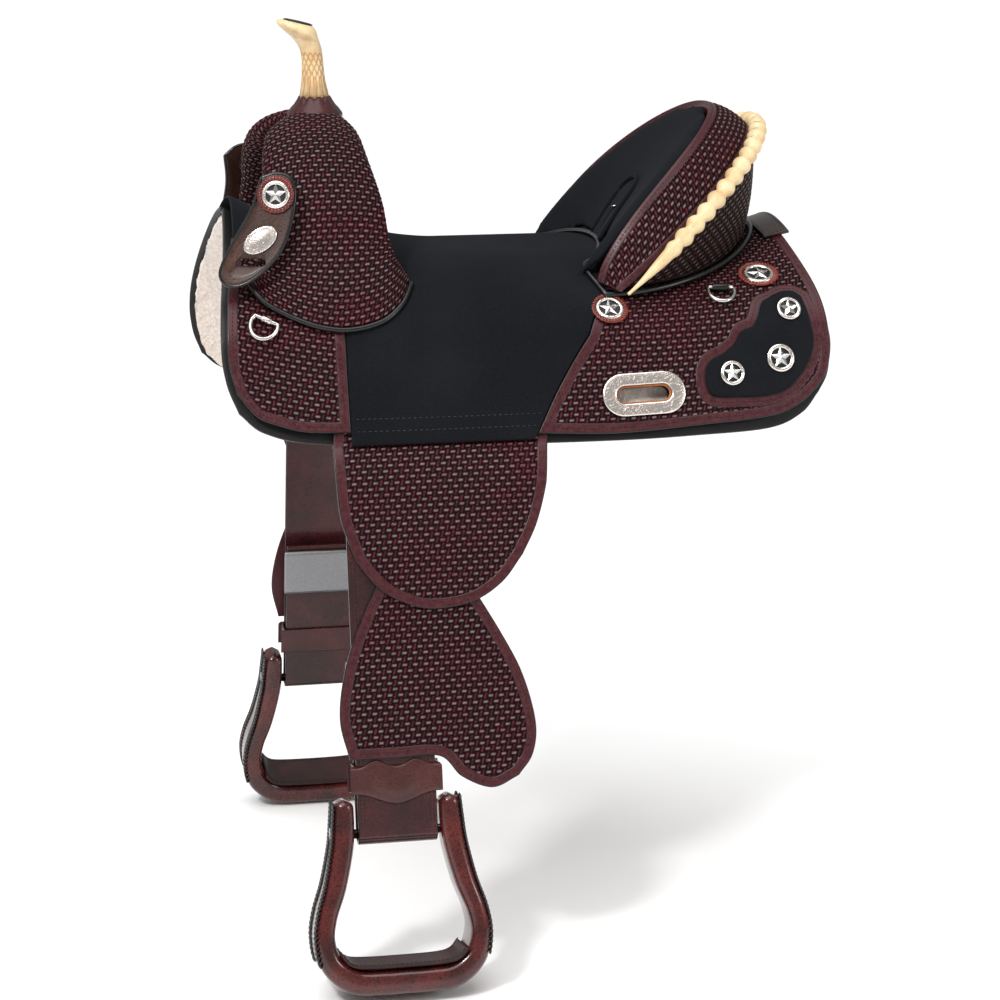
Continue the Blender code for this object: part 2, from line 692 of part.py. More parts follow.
def make_rings():
    for place_word, ((x, z), turn) in RING_PLACES.items():
        for side, word in SIDES:
            surface = OUTER_T + (jockey_t(s_at_height(x, z)) - JOCKEY_T)
            axes = frame_on_skin(x, z, side, surface + RING_LIFT, math.radians(turn))
            path = [local_point(axes, a, b, 0.0) for a, b in ring_outline()]
            tube(f"ring_{place_word}_{word}", path, RING_WIRE, "steel", True, axes[3])
            clip = []
            for a in (-0.005, 0.005):
                for radius in (0.0046, 0.0024):
                    clip.append([local_point(axes, a, radius * math.cos(q), radius * math.sin(q))
                                 for q in np.linspace(0, 2 * math.pi, 12, endpoint=False)])
            order = [clip[0], clip[2], clip[3], clip[1]]
            ring_loft_closed(f"ring_clip_{place_word}_{word}", order, "silver")


# a keeper's outline about its concho screw: rearward, up
KEEPER_SHAPE = [(-0.014, 0.017), (0.0, 0.021), (0.013, 0.017), (0.018, 0.004), (0.016, -0.020),
                (0.008, -0.048), (-0.006, -0.068), (-0.026, -0.084), (-0.044, -0.087),
                (-0.052, -0.074), (-0.040, -0.046), (-0.022, -0.012)]
KEEPER_HALF_THICK = 0.0019
KEEPER_SLOT, KEEPER_SLOT_HALF, KEEPER_SLOT_HIGH = (-0.0225, -0.0640), 0.0140, 0.0036
KEEPER_TURN = {NEAR: 0.0, OFF: math.radians(24.0)}  # the off one hangs straighter down
SPACER_RADIUS, SPACER_END = 0.006, -0.0202  # the leather spacer that stands on the fork


def make_keepers():
    """The latigo keepers, each on a spacer that screws to the fork's front corner."""
    for side, word in SIDES:
        axes = keeper_axes(side)
        spacer = [(a * SPACER_RADIUS / math.hypot(a, b), b * SPACER_RADIUS / math.hypot(a, b))
                  for a, b in KEEPER_SHAPE]
        levels = [(spacer, SPACER_END), (spacer, -KEEPER_HALF_THICK - 0.0001),
                  (KEEPER_SHAPE, -KEEPER_HALF_THICK), (KEEPER_SHAPE, KEEPER_HALF_THICK)]
        rings = [[local_point(axes, a, b, level) for a, b in shape] for shape, level in levels]
        keeper = ring_loft(f"latigo_keeper_{word}", rings, "keeper")
        centre = local_point(axes, *KEEPER_SLOT, 0.0)
        slot = [[local_point((*axes[:3], centre), a, b, level)
                 for a, b in stadium(KEEPER_SLOT_HALF, KEEPER_SLOT_HIGH)]
                for level in (-0.004, 0.004)]
        cut(keeper, make_cutter(f"cut_keeper_{word}", slot))


def keeper_axes(side):
    """Faces forward and outward, standing clear of the swell's front corner."""
    place = np.array([-0.2440, side * 0.1400, 0.1170])
    out = np.array([-0.25, side * 0.93, 0.25])
    out /= np.linalg.norm(out)
    up = np.array([0.0, 0.0, 1.0]) - out[2] * out
    up /= np.linalg.norm(up)
    rear = np.cross(up, out) * -side
    c, n = math.cos(KEEPER_TURN[side]), math.sin(KEEPER_TURN[side])
    return c * rear + n * up, c * up - n * rear, out, place


# ---------------------------------------------------------------- legs
def leg_axes(side):
    """The leg's frame: along X, down the leg, outward, and the fender's lift line."""
    down = np.array([0.0, side * math.sin(LEAN), -math.cos(LEAN)])
    out = np.array([0.0, side * math.cos(LEAN), math.sin(LEAN)])
    return np.array([1.0, 0.0, 0.0]), down, out, np.array([0.0, side * LIFT_Y, LIFT_Z])


def leg_sheet(name, side, edges, level, thickness, look, origin, rows=12, columns=12):
    """A flat leather of the leg; edges are (x, down) lists, level gives its distance out."""
    left, right = (smooth_path(edges[k], rows) for k in ("left", "right"))
    top, bottom = (smooth_path(edges[k], columns) for k in ("top", "bottom"))
    grid = patch(left, right, top, bottom).reshape(-1, 2)
    axes = leg_axes(side)
    points = [local_point(axes, x, down, level(down)) for x, down in grid]
    return thicken(mesh_object(name, points, grid_faces(rows, columns), look, origin), thickness)


def strap_path():
    """Down the leg's outer strap, round the stirrup bolt, and up behind to the buckle."""
    radius = BOLT_RADIUS + 0.0025 + STRAP_THICK / 2
    path = [(down, 0.0) for down in (0.002, 0.08, 0.16, 0.24, 0.30, BOLT_L)]
    for k in range(1, 8):
        angle = math.pi * k / 8
        path.append((BOLT_L + radius * math.sin(angle), -radius + radius * math.cos(angle)))
    path += [(down, -2 * radius) for down in (BOLT_L, 0.30, 0.24, 0.19)]
    return path


BOLT_OUT = -(BOLT_RADIUS + 0.0025 + STRAP_THICK / 2)
FLAP_EDGES = {
    "top": [(-0.2010, 0.0015), (-0.10, 0.0015), (0.0065, 0.0015)],
    "left": [(-0.2010, 0.0015), (-0.2005, 0.0300), (-0.1975, 0.0620), (-0.1860, 0.0980)],
    "bottom": [(-0.1860, 0.0980), (-0.1669, 0.1234), (-0.1435, 0.1388), (-0.1149, 0.1469),
               (-0.0760, 0.1422), (-0.0461, 0.1246), (-0.0250, 0.0990)],
    "right": [(0.0065, 0.0015), (0.0010, 0.0350), (-0.0100, 0.0700), (-0.0250, 0.0990)],
}
HEART_EDGES = {
    "top": [(-0.1640, 0.1180), (-0.120, 0.1120), (-0.0800, 0.1180)],
    "left": [(-0.1640, 0.1180), (-0.1860, 0.1620), (-0.2010, 0.2050), (-0.2068, 0.2480),
             (-0.1990, 0.2860)],
    "bottom": [(-0.1990, 0.2860), (-0.1560, 0.2860), (-0.1130, 0.2870), (-0.0920, 0.3080),
               (-0.0631, 0.3200), (-0.0370, 0.3100)],
    "right": [(-0.0800, 0.1180), (-0.0480, 0.1740), (-0.0290, 0.2146), (-0.0185, 0.2600),
              (-0.0225, 0.2900), (-0.0370, 0.3100)],
}


def make_leg(side, word):
    axes = leg_axes(side)
    hinge = local_point(axes, STRAP_X, 0.0, 0.0)
    make_hanger(side, word)

    half = STRAP_WIDTH / 2
    path = strap_path()
    points = [local_point(axes, STRAP_X + x, down, level)
              for down, level in path for x in (-half, 0.0, half)]
    strap = mesh_object(f"stirrup_leather_{word}", points, grid_faces(len(path), 3),
                        "mahogany", hinge)
    thicken(strap, STRAP_THICK)

    surface = STRAP_THICK / 2 + GAP + FLAP_THICK / 2
    leg_sheet(f"fender_heart_{word}", side, HEART_EDGES, lambda down: surface, FLAP_THICK,
              "burgundy", hinge, 10, 8)
    raised = surface + FLAP_THICK + GAP
    leg_sheet(f"fender_flap_{word}", side, FLAP_EDGES,
              lambda down: surface + (raised - surface) * ease(down, 0.03, 0.09), FLAP_THICK,
              "burgundy", hinge, 10, 8)

    middle = BOLT_OUT
    loop = []
    for down in (0.2915, 0.3225):
        for grow, corner in ((0.0022, 0.0020), (0.0006, 0.0003)):
            shape = rounded_box(half + grow, -middle + STRAP_THICK / 2 + grow, corner)
            loop.append([local_point(axes, STRAP_X + a, down, middle + b) for a, b in shape])
    ring_loft_closed(f"hobble_strap_{word}", [loop[0], loop[2], loop[3], loop[1]], "burgundy",
                     hinge)

    back = 2 * middle - STRAP_THICK / 2 - GAP
    buckle = [[local_point(axes, STRAP_X + a, down, back - 0.0025 + b)
               for a, b in rounded_box(half + 0.003, 0.0025, 0.0015)]
              for down in (0.195, 0.245)]
    ring_loft(f"leather_buckle_{word}", buckle, "steel", hinge)
    make_stirrup(side, word, axes)


def rounded_box(half_a, half_b, radius, steps=3):
    radius = min(radius, half_a * 0.95, half_b * 0.95)
    points = []
    for ca, cb, start in ((1, 1, 0.0), (-1, 1, 90.0), (-1, -1, 180.0), (1, -1, 270.0)):
        for k in range(steps + 1):
            angle = math.radians(start + 90.0 * k / steps)
            points.append((ca * (half_a - radius) + radius * math.cos(angle),
                           cb * (half_b - radius) + radius * math.sin(angle)))
    return points


HANGER_TOP_S, HANGER_T = 0.61, SKIRT_TOP_T + 0.0024
SWING_X, SWING_S = -0.1460, 0.64


def make_hanger(side, word):
    """The strap between skirt and jockey that carries the leg from the tree bar."""
    half = STRAP_WIDTH / 2
    points = []
    shares = np.linspace(HANGER_TOP_S, 0.985, 6)
    for s in shares:
        for x in (-half, 0.0, half):
            points.append(drape(STRAP_X + x, side * s, HANGER_T))
    origin = drape(SWING_X, side * SWING_S, HANGER_T)
    hanger = mesh_object(f"leather_hanger_{word}", points, grid_faces(len(shares), 3),
                         "mahogany", origin)
    thicken(hanger, 0.003)


# half loop of the stirrup in its plane: across, down the leg, thickness, depth
STIRRUP_LOOP = [
    (0.0508, 0.3240, 0.0190, 0.030), (0.0518, 0.3480, 0.0210, 0.032),
    (0.0540, 0.3700, 0.0215, 0.034), (0.0620, 0.4050, 0.0205, 0.040),
    (0.0715, 0.4330, 0.0190, 0.046), (0.0745, 0.4560, 0.0190, 0.050),
    (0.0680, 0.4790, 0.0220, 0.052), (0.0480, 0.4945, 0.0240, 0.053),
    (0.0220, 0.4970, 0.0240, 0.054), (0.0000, 0.4970, 0.0240, 0.054),
]


def make_stirrup(side, word, axes):
    bolt = local_point(axes, STIRRUP_X, BOLT_L, BOLT_OUT)
    right = np.array(STIRRUP_LOOP)
    left = right[:-1][::-1] * np.array([-1, 1, 1, 1])
    path = smooth_path(np.vstack([right, left]), 27)
    flat = path[:, :2]
    along = np.gradient(flat, axis=0)
    along /= np.linalg.norm(along, axis=1)[:, None]
    rings = []
    for (across, down, thick, depth), (da, dd) in zip(path, along):
        ring = []
        for a, b in rounded_box(thick / 2, depth / 2, 0.006):
            ring.append(local_point(axes, STIRRUP_X + across - dd * a, down + da * a,
                                    BOLT_OUT + b))
        rings.append(ring)
    stirrup = ring_loft(f"stirrup_{word}", rings, "mahogany", bolt)
    holes = [[local_point(axes, STIRRUP_X + level, BOLT_L + r * math.cos(q),
                          BOLT_OUT + r * math.sin(q))
              for q in np.linspace(0, 2 * math.pi, 14, endpoint=False)]
             for level in (-0.08, 0.08) for r in (BOLT_RADIUS + 0.0004,)]
    cut(stirrup, make_cutter(f"cut_bolt_{word}", holes))
    rod = [[local_point(axes, STIRRUP_X + level, BOLT_L + BOLT_RADIUS * math.cos(q),
                        BOLT_OUT + BOLT_RADIUS * math.sin(q))
            for q in np.linspace(0, 2 * math.pi, 14, endpoint=False)]
           for level in (-0.0620, 0.0620)]
    ring_loft(f"stirrup_bolt_{word}", rod, "steel", bolt)
    pad = [[local_point(axes, STIRRUP_X + a, down, BOLT_OUT + b)
            for a, b in rounded_box(0.036, 0.024, 0.006)]
           for down in (0.4785, 0.4816)]
    ring_loft(f"tread_pad_{word}", pad, "mahogany", bolt)


# ---------------------------------------------------------------- build
make_skirts()
make_seat()
make_jockeys()
make_rig_plates()
make_fork()
make_horn()
make_cantle()
make_rings()
make_keepers()
for leg_side, leg_word in SIDES:
    make_leg(leg_side, leg_word)
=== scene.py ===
"""The looks of the western barrel saddle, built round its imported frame.

Metres, +Z up, -X the front, -Y the near side. The leather layers lie on one "drape" surface,
given by x, by s round its half section (0 crown, 1 hem, negative near side) and by t, the
distance off the horse. The legs lie on planes that lean out from the skirts' lower edges.
"""

import math

import bmesh
import bpy
import numpy as np
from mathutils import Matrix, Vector, noise


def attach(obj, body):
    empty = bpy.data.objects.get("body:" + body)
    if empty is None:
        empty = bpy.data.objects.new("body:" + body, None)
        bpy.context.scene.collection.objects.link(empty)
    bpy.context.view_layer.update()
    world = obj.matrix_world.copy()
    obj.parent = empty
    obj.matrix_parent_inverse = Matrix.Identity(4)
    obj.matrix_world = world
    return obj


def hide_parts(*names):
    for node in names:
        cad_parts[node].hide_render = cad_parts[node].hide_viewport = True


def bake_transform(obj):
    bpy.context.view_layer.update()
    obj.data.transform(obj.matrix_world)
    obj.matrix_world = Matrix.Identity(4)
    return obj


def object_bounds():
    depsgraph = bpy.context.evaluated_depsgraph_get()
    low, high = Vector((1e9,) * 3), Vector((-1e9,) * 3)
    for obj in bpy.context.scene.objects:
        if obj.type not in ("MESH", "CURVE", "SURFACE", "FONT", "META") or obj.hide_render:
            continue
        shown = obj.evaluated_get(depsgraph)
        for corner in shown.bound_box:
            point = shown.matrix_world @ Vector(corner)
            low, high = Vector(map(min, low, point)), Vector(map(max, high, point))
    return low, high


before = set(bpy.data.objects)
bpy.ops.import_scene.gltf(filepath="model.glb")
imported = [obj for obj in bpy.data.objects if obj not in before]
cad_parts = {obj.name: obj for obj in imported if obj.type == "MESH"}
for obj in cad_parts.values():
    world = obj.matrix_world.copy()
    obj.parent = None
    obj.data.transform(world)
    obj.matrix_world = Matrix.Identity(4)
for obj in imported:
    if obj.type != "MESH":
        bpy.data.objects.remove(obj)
CAD_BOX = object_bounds()

NEAR, OFF = -1, 1
SIDES = ((NEAR, "near"), (OFF, "off"))
MM = 0.001
X_AXIS = np.array([1.0, 0.0, 0.0])

# ---------------------------------------------------------------- the frame's dimensions
GAP, LOOSE = 0.0006, 0.0012
CROWN_REACH = 0.05
SHOULDER, HEM = np.array([0.140, -0.032]), np.array([0.1763, -0.128])
SHOULDER_EASE = 0.03
WITHER_START, WITHER_RUN, WITHER_RISE = -0.06, 0.23, 0.076
LOIN_START, LOIN_RUN, LOIN_RISE = 0.10, 0.18, 0.034
FLEECE_THICK, SKIRT_THICK, JOCKEY_THICK = 0.012, 0.004, 0.003
FLEECE_T, SKIRT_T = 0.006, 0.0146
JOCKEY_T, JOCKEY_OVER_BAR_T, SEAT_T, SEAT_CROWN_T = 0.0270, 0.0287, 0.0270, 0.0465
OUTER_T = JOCKEY_T + JOCKEY_THICK / 2
CANTLE_HALF, ROLL_HALF, BACK_HALF, FACE_HALF = 0.135, 0.152, 0.135, 0.116
CANTLE_SKIN = 0.30
LEAN = math.radians(12.0)
LIFT_Y, LIFT_Z = 0.2042, -0.1245
STRAP_X, STRAP_WIDTH, STRAP_THICK = -0.1550, 0.076, 0.0035
BOLT_L, BOLT_RADIUS = 0.3575, 0.0045
BOLT_OUT = -(BOLT_RADIUS + 0.0025 + STRAP_THICK / 2)
STIRRUP_X = -0.1555
FRONT_SPLIT_X, WITHER_S = -0.1835, 0.255

# leather work
GRID = 1.5 * MM  # mesh spacing on stamped leather
BORDER = 9.8 * MM  # plain border round the stamping
STITCH_IN = 5.0 * MM  # stitch row from the edge
STITCH_PITCH, STITCH_LONG, STITCH_RADIUS = 4.4 * MM, 3.0 * MM, 0.45 * MM
STAMP_LONG, STAMP_HIGH, STAMP_DEPTH = 10.2, 5.6, 0.75 * MM  # cell in mm, depth in metres
STAMP_SLANT = 0.16  # how far a strip's ends lean, in cells for each row
STRIP_END, STRIP_SIDE = (0.12, 0.36), (0.06, 0.44)  # where a strip rounds off, in cells
UNDER_END, UNDER_HIGH = (0.33, 0.44), 0.50  # where the strips under it show, and how high
PUFF_RUN = 6 * MM  # how far in from its edge padding swells up


# ---------------------------------------------------------------- materials
class Paint:
    """A procedural material being put together from nodes."""

    def __init__(self, name, **sockets):
        self.material = bpy.data.materials.new(name)
        self.material.use_nodes = True
        self.tree = self.material.node_tree
        self.shader = self.tree.nodes["Principled BSDF"]
        for key, value in sockets.items():
            self.put(key.replace("_", " ").title().replace("Ior", "IOR"), value)

    def put(self, socket, value):
        self.plug(self.shader.inputs[socket], value)

    def plug(self, socket, value):
        if isinstance(value, bpy.types.NodeSocket):
            self.tree.links.new(value, socket)
        elif value is not None:
            socket.default_value = value

    def node(self, kind, inputs=(), output=0, **settings):
        made = self.tree.nodes.new(kind)
        for key, value in settings.items():
            setattr(made, key, value)
        for slot, value in enumerate(inputs):
            self.plug(made.inputs[slot], value)
        return made.outputs[output]

    def math(self, operation, *inputs):
        return self.node("ShaderNodeMath", inputs, operation=operation)

    def smooth(self, value, low, high):
        return self.node("ShaderNodeMapRange", (value, low, high),
                         interpolation_type="SMOOTHSTEP")

    def span(self, value, low, high, to_low, to_high):
        return self.node("ShaderNodeMapRange", (value, low, high, to_low, to_high))

    def times(self, a, b):
        return self.math("MULTIPLY", a, b)

    def minus(self, a, b):
        return self.math("SUBTRACT", a, b)

    def mix(self, factor, a, b):
        made = self.tree.nodes.new("ShaderNodeMix")
        made.data_type = "RGBA"
        self.plug(made.inputs[0], factor)
        self.plug(made.inputs[6], a if isinstance(a, bpy.types.NodeSocket) else (*a, 1.0))
        self.plug(made.inputs[7], b if isinstance(b, bpy.types.NodeSocket) else (*b, 1.0))
        return made.outputs[2]

    def place(self):
        return self.node("ShaderNodeTexCoord", output=3)

    def noise(self, scale, detail=3.0, rough=0.55):
        made = self.tree.nodes.new("ShaderNodeTexNoise")
        self.plug(made.inputs["Vector"], self.place())
        made.inputs["Scale"].default_value = scale
        made.inputs["Detail"].default_value = detail
        made.inputs["Roughness"].default_value = rough
        return made.outputs[0]

    def voronoi(self, scale, feature="F1"):
        made = self.tree.nodes.new("ShaderNodeTexVoronoi")
        made.feature = feature
        self.plug(made.inputs["Vector"], self.place())
        made.inputs["Scale"].default_value = scale
        return made.outputs[0]

    def edge(self):
        """Distance to the piece's worked edge, stored on its points."""
        return self.node("ShaderNodeAttribute", output=2, attribute_name="edge")

    def bump(self, height, distance, strength):
        made = self.tree.nodes.new("ShaderNodeBump")
        made.inputs["Strength"].default_value = strength
        made.inputs["Distance"].default_value = distance
        self.plug(made.inputs["Height"], height)
        self.plug(self.shader.inputs["Normal"], made.outputs[0])

    def add(self, a, b, share=1.0):
        return self.math("ADD", a, self.times(b, share))


def stamped_strips(paint):
    """How high the stamp's long strips stand at each place, and the short ones under them."""
    u, v = (paint.node("ShaderNodeSeparateXYZ", (paint.node("ShaderNodeUVMap"),), k)
            for k in (0, 1))
    u, v = paint.times(u, 1 / (MM * STAMP_LONG)), paint.times(v, 1 / (MM * STAMP_HIGH))
    odd = paint.times(paint.math("FLOORED_MODULO", paint.math("FLOOR", v), 2.0), 0.5)
    height = paint.minus(paint.math("FRACT", v), 0.5)
    shifted = paint.math("ADD", u, paint.math("ADD", odd, paint.times(height, STAMP_SLANT)))
    along = paint.math("ABSOLUTE", paint.minus(paint.math("FRACT", shifted), 0.5))
    across = paint.math("ABSOLUTE", height)
    over = paint.times(paint.minus(1.0, paint.smooth(along, *STRIP_END)),
                       paint.minus(1.0, paint.smooth(across, *STRIP_SIDE)))
    under = paint.times(paint.smooth(along, *UNDER_END), UNDER_HIGH)
    return over, under


def weave(u, v):
    """The same stamp as numbers, for the mesh: u and v in metres."""
    u, v = u / (MM * STAMP_LONG), v / (MM * STAMP_HIGH)
    row = np.floor(v)
    height = v - row - 0.5
    along = np.abs((u + 0.5 * np.mod(row, 2) + STAMP_SLANT * height) % 1.0 - 0.5)
    across = np.abs(height)
    over = (1 - ease(along, *STRIP_END)) * (1 - ease(across, *STRIP_SIDE))
    return np.maximum(over, UNDER_HIGH * ease(along, *UNDER_END))


def basket_leather(name, top=(0.030, 0.014, 0.014), red=(0.075, 0.008, 0.013),
                   low=(0.009, 0.003, 0.004), plain=(0.060, 0.005, 0.009),
                   painted_glint_colour=(0.150, 0.105, 0.104)):
    """Basket-stamped leather: antiqued in the stamping, painted highlights on the raised strips, a
    plain border, a dark cut edge.
    """
    paint = Paint(name)
    (over, under), edge = stamped_strips(paint), paint.edge()
    height = paint.math("MAXIMUM", over, under)
    stamped = paint.smooth(edge, BORDER - 0.3 * MM, BORDER + 0.5 * MM)
    patches = paint.smooth(paint.noise(16.0, 3.0), 0.42, 0.68)
    # fine noise: mottles the colour and roughness, and sets how strong each painted highlight is
    mottle_and_glint_noise = paint.noise(260.0, 4.0)
    raised = paint.mix(patches, top, red)
    strand = paint.mix(paint.smooth(mottle_and_glint_noise, 0.42, 0.62), [0.3 * c for c in red], red)
    stamp_colour = paint.mix(paint.smooth(under, 0.15, 0.50), low, strand)
    stamp_colour = paint.mix(paint.smooth(over, 0.20, 0.55), stamp_colour, raised)
    # painted highlight: a pale colour laid on the raised strips' tops, standing in for the lamps'
    # glints
    glint = paint.times(over, paint.math("ADD", 0.55, paint.times(mottle_and_glint_noise, 0.85)))
    glint = paint.minus(glint, paint.times(patches, 0.12))
    stamp_colour = paint.mix(paint.smooth(glint, 0.66, 1.06), stamp_colour, painted_glint_colour)
    border_colour = paint.mix(paint.smooth(mottle_and_glint_noise, 0.30, 0.75), [0.55 * c for c in plain], plain)
    ditch = paint.smooth(paint.math("ABSOLUTE", paint.minus(edge, BORDER)), 0.1 * MM, 0.9 * MM)
    border_colour = paint.mix(ditch, low, border_colour)
    colour = paint.mix(stamped, border_colour, stamp_colour)
    colour = paint.mix(paint.smooth(edge, 0.4 * MM, 1.7 * MM), (0.005, 0.004, 0.004), colour)
    paint.put("Base Color", colour)
    deep = paint.times(stamped, paint.minus(1.0, height))
    paint.put("Roughness", paint.span(paint.add(mottle_and_glint_noise, deep, 0.6), 0.2, 1.1, 0.22, 0.75))
    paint.put("Specular IOR Level", paint.span(deep, 0.0, 0.8, 0.40, 0.03))
    relief = paint.add(paint.times(height, stamped), ditch, 0.35)
    relief = paint.add(relief, paint.noise(900.0, 3.0), 0.10)
    paint.bump(relief, STAMP_DEPTH, 0.9)
    return paint.material


def plain_leather(name, colour, dark, roughness=0.35, coat=0.3, grain=700.0, depth=0.15 * MM,
                  edge_line=True):
    paint = Paint(name, specular_ior_level=0.3, coat_weight=coat, coat_roughness=0.18)
    patches = paint.smooth(paint.noise(22.0, 4.0), 0.30, 0.72)
    pores = paint.noise(grain, 4.0)
    base = paint.mix(patches, dark, colour)
    base = paint.mix(paint.smooth(pores, 0.25, 0.6), [0.7 * c for c in dark], base)
    if edge_line:
        base = paint.mix(paint.smooth(paint.edge(), 0.3 * MM, 1.5 * MM),
                         [0.25 * c for c in dark], base)
    paint.put("Base Color", base)
    paint.put("Roughness", paint.span(pores, 0.2, 0.8, roughness - 0.08, roughness + 0.10))
    paint.bump(paint.add(pores, paint.voronoi(grain * 0.8, "DISTANCE_TO_EDGE"), 0.6), depth, 0.6)
    return paint.material


def suede(name):
    """Blue-black suede with brushed, slightly lighter patches of nap."""
    paint = Paint(name, roughness=1.0, specular_ior_level=0.04, sheen_weight=0.03,
                  sheen_roughness=0.5, sheen_tint=(0.75, 0.80, 0.90, 1.0))
    brushed = paint.smooth(paint.noise(9.0, 4.0), 0.30, 0.75)
    nap = paint.noise(1500.0, 3.0, rough=0.7)
    base = paint.mix(brushed, (0.0040, 0.0045, 0.0053), (0.0080, 0.0090, 0.0105))
    base = paint.mix(paint.smooth(nap, 0.35, 0.80), base, (0.014, 0.0152, 0.0178))
    paint.put("Base Color", base)
    paint.bump(paint.add(nap, paint.noise(380.0, 2.0), 0.7), 0.25 * MM, 0.5)
    return paint.material


def wool(name):
    paint = Paint(name, roughness=1.0, sheen_weight=0.5, sheen_roughness=0.6,
                  subsurface_weight=0.12, subsurface_scale=0.01)
    curls = paint.voronoi(260.0)
    tufts = paint.noise(90.0, 5.0, rough=0.7)
    base = paint.mix(paint.smooth(tufts, 0.3, 0.7), (0.72, 0.64, 0.57), (0.82, 0.76, 0.70))
    base = paint.mix(paint.smooth(curls, 0.0, 0.8), base, (0.66, 0.57, 0.50))
    paint.put("Base Color", base)
    paint.bump(paint.add(tufts, curls, -0.8), 1.6 * MM, 0.9)
    return paint.material


def rawhide(name, brown=(0.46, 0.24, 0.09)):
    paint = Paint(name, specular_ior_level=0.5, coat_weight=0.15, coat_roughness=0.3,
                  subsurface_weight=0.08, subsurface_scale=0.004)
    streaks = paint.noise(60.0, 5.0)
    specks = paint.noise(420.0, 4.0)
    base = paint.mix(paint.smooth(streaks, 0.28, 0.60), (0.60, 0.40, 0.19), (0.74, 0.57, 0.33))
    base = paint.mix(paint.smooth(specks, 0.22, 0.42), (0.50, 0.31, 0.14), base)
    base = paint.mix(paint.smooth(paint.edge(), 0.05 * MM, 0.75 * MM), brown, base)
    paint.put("Base Color", base)
    paint.put("Roughness", paint.span(specks, 0.2, 0.8, 0.38, 0.60))
    paint.bump(paint.add(specks, streaks), 0.2 * MM, 0.5)
    return paint.material


def engraved_silver(name, scale=150.0, depth=0.35 * MM):
    """Bright plate with a worn, scroll-like engraving darkened in its lines."""
    paint = Paint(name, metallic=1.0)
    swirl = paint.noise(scale * 0.35, 2.0)
    scroll = paint.math("ABSOLUTE", paint.math("SINE", paint.times(swirl, 46.0)))
    cuts = paint.smooth(scroll, 0.10, 0.50)
    rim = paint.smooth(paint.edge(), 1.2 * MM, 1.9 * MM)
    inside = paint.math("MAXIMUM", cuts, paint.minus(1.0, rim))
    specks = paint.noise(900.0, 3.0)
    bright = paint.mix(specks, (0.80, 0.74, 0.69), (0.66, 0.61, 0.57))
    paint.put("Base Color", paint.mix(inside, (0.36, 0.28, 0.23), bright))
    paint.put("Roughness", paint.span(inside, 0.0, 1.0, 0.55, 0.24))
    paint.bump(paint.add(inside, specks, 0.08), depth, 0.8)
    return paint.material


def bright_metal(name, colour=(0.62, 0.61, 0.59), roughness=0.20):
    paint = Paint(name, metallic=1.0)
    scratches = paint.noise(700.0, 4.0)
    paint.put("Base Color", paint.mix(paint.smooth(scratches, 0.3, 0.7),
                                      [0.78 * c for c in colour], colour))
    paint.put("Roughness", paint.span(scratches, 0.2, 0.8, roughness - 0.06, roughness + 0.10))
    paint.bump(scratches, 0.05 * MM, 0.4)
    return paint.material


def wood(name):
    paint = Paint(name, roughness=0.6)
    grain = paint.noise(40.0, 6.0)
    paint.put("Base Color", paint.mix(grain, (0.42, 0.27, 0.12), (0.62, 0.45, 0.25)))
    paint.bump(grain, 0.3 * MM, 0.4)
    return paint.material


LOOKS = {
    "basket": basket_leather("basket_leather"),
    # the last colour given is the painted highlight on the raised strips
    "basket_dark": basket_leather("basket_leather_dark", (0.026, 0.014, 0.012),
                                  (0.038, 0.012, 0.009), (0.007, 0.004, 0.004),
                                  (0.022, 0.008, 0.007), (0.10, 0.075, 0.068)),
    "burgundy": plain_leather("plain_burgundy", (0.070, 0.014, 0.015), (0.026, 0.008, 0.008), 0.38,
                              0.1),
    "housing": plain_leather("dark_housing", (0.048, 0.022, 0.019), (0.018, 0.009, 0.008), 0.36,
                             0.3),
    "skirt": plain_leather("black_skirt", (0.011, 0.010, 0.011), (0.005, 0.005, 0.005), 0.45,
                           0.1),
    "mahogany": plain_leather("mahogany", (0.105, 0.014, 0.011), (0.022, 0.005, 0.005), 0.20,
                              0.5, 500.0, 0.06 * MM, edge_line=False),
    "tread": plain_leather("tread_leather", (0.045, 0.009, 0.008), (0.016, 0.005, 0.005), 0.50,
                           0.0, 500.0, 0.2 * MM),
    "strap": plain_leather("strap_leather", (0.062, 0.012, 0.012), (0.020, 0.006, 0.006), 0.30,
                           0.35),
    "hobble": plain_leather("hobble_leather", (0.080, 0.020, 0.018), (0.034, 0.010, 0.009), 0.34,
                            0.25),
    "keeper": plain_leather("keeper_brown", (0.070, 0.024, 0.013), (0.026, 0.010, 0.007), 0.42,
                            0.1, 420.0, 0.4 * MM),
    "piping": plain_leather("black_piping", (0.006, 0.006, 0.006), (0.003, 0.003, 0.003), 0.30,
                            0.25, 800.0, 0.05 * MM, edge_line=False),
    "suede": suede("black_suede"),
    "wool": wool("fleece_wool"),
    "rawhide": rawhide("rawhide"),
    "lace": bright_metal("pale_lace", (0.60, 0.58, 0.55), 0.45),
    "silver": engraved_silver("engraved_silver"),
    "nickel": bright_metal("nickel"),
    "steel": bright_metal("steel", (0.30, 0.30, 0.31), 0.42),
    "rosette": plain_leather("rosette_leather", (0.250, 0.030, 0.014), (0.100, 0.014, 0.009), 0.30,
                             0.3, 500.0, 0.1 * MM, edge_line=False),
    "slot_edge": plain_leather("slot_edge", (0.48, 0.16, 0.05), (0.30, 0.09, 0.03), 0.5, 0.0,
                               500.0, 0.1 * MM, edge_line=False),
    "thread": plain_leather("thread", (0.014, 0.004, 0.005), (0.006, 0.003, 0.003), 0.55, 0.0,
                            1200.0, 0.1 * MM, edge_line=False),
    "black_thread": plain_leather("black_thread", (0.040, 0.040, 0.043), (0.016, 0.016, 0.018),
                                  0.6, 0.0, 1200.0, 0.1 * MM, edge_line=False),
    "wood": wood("tree_wood"),
}


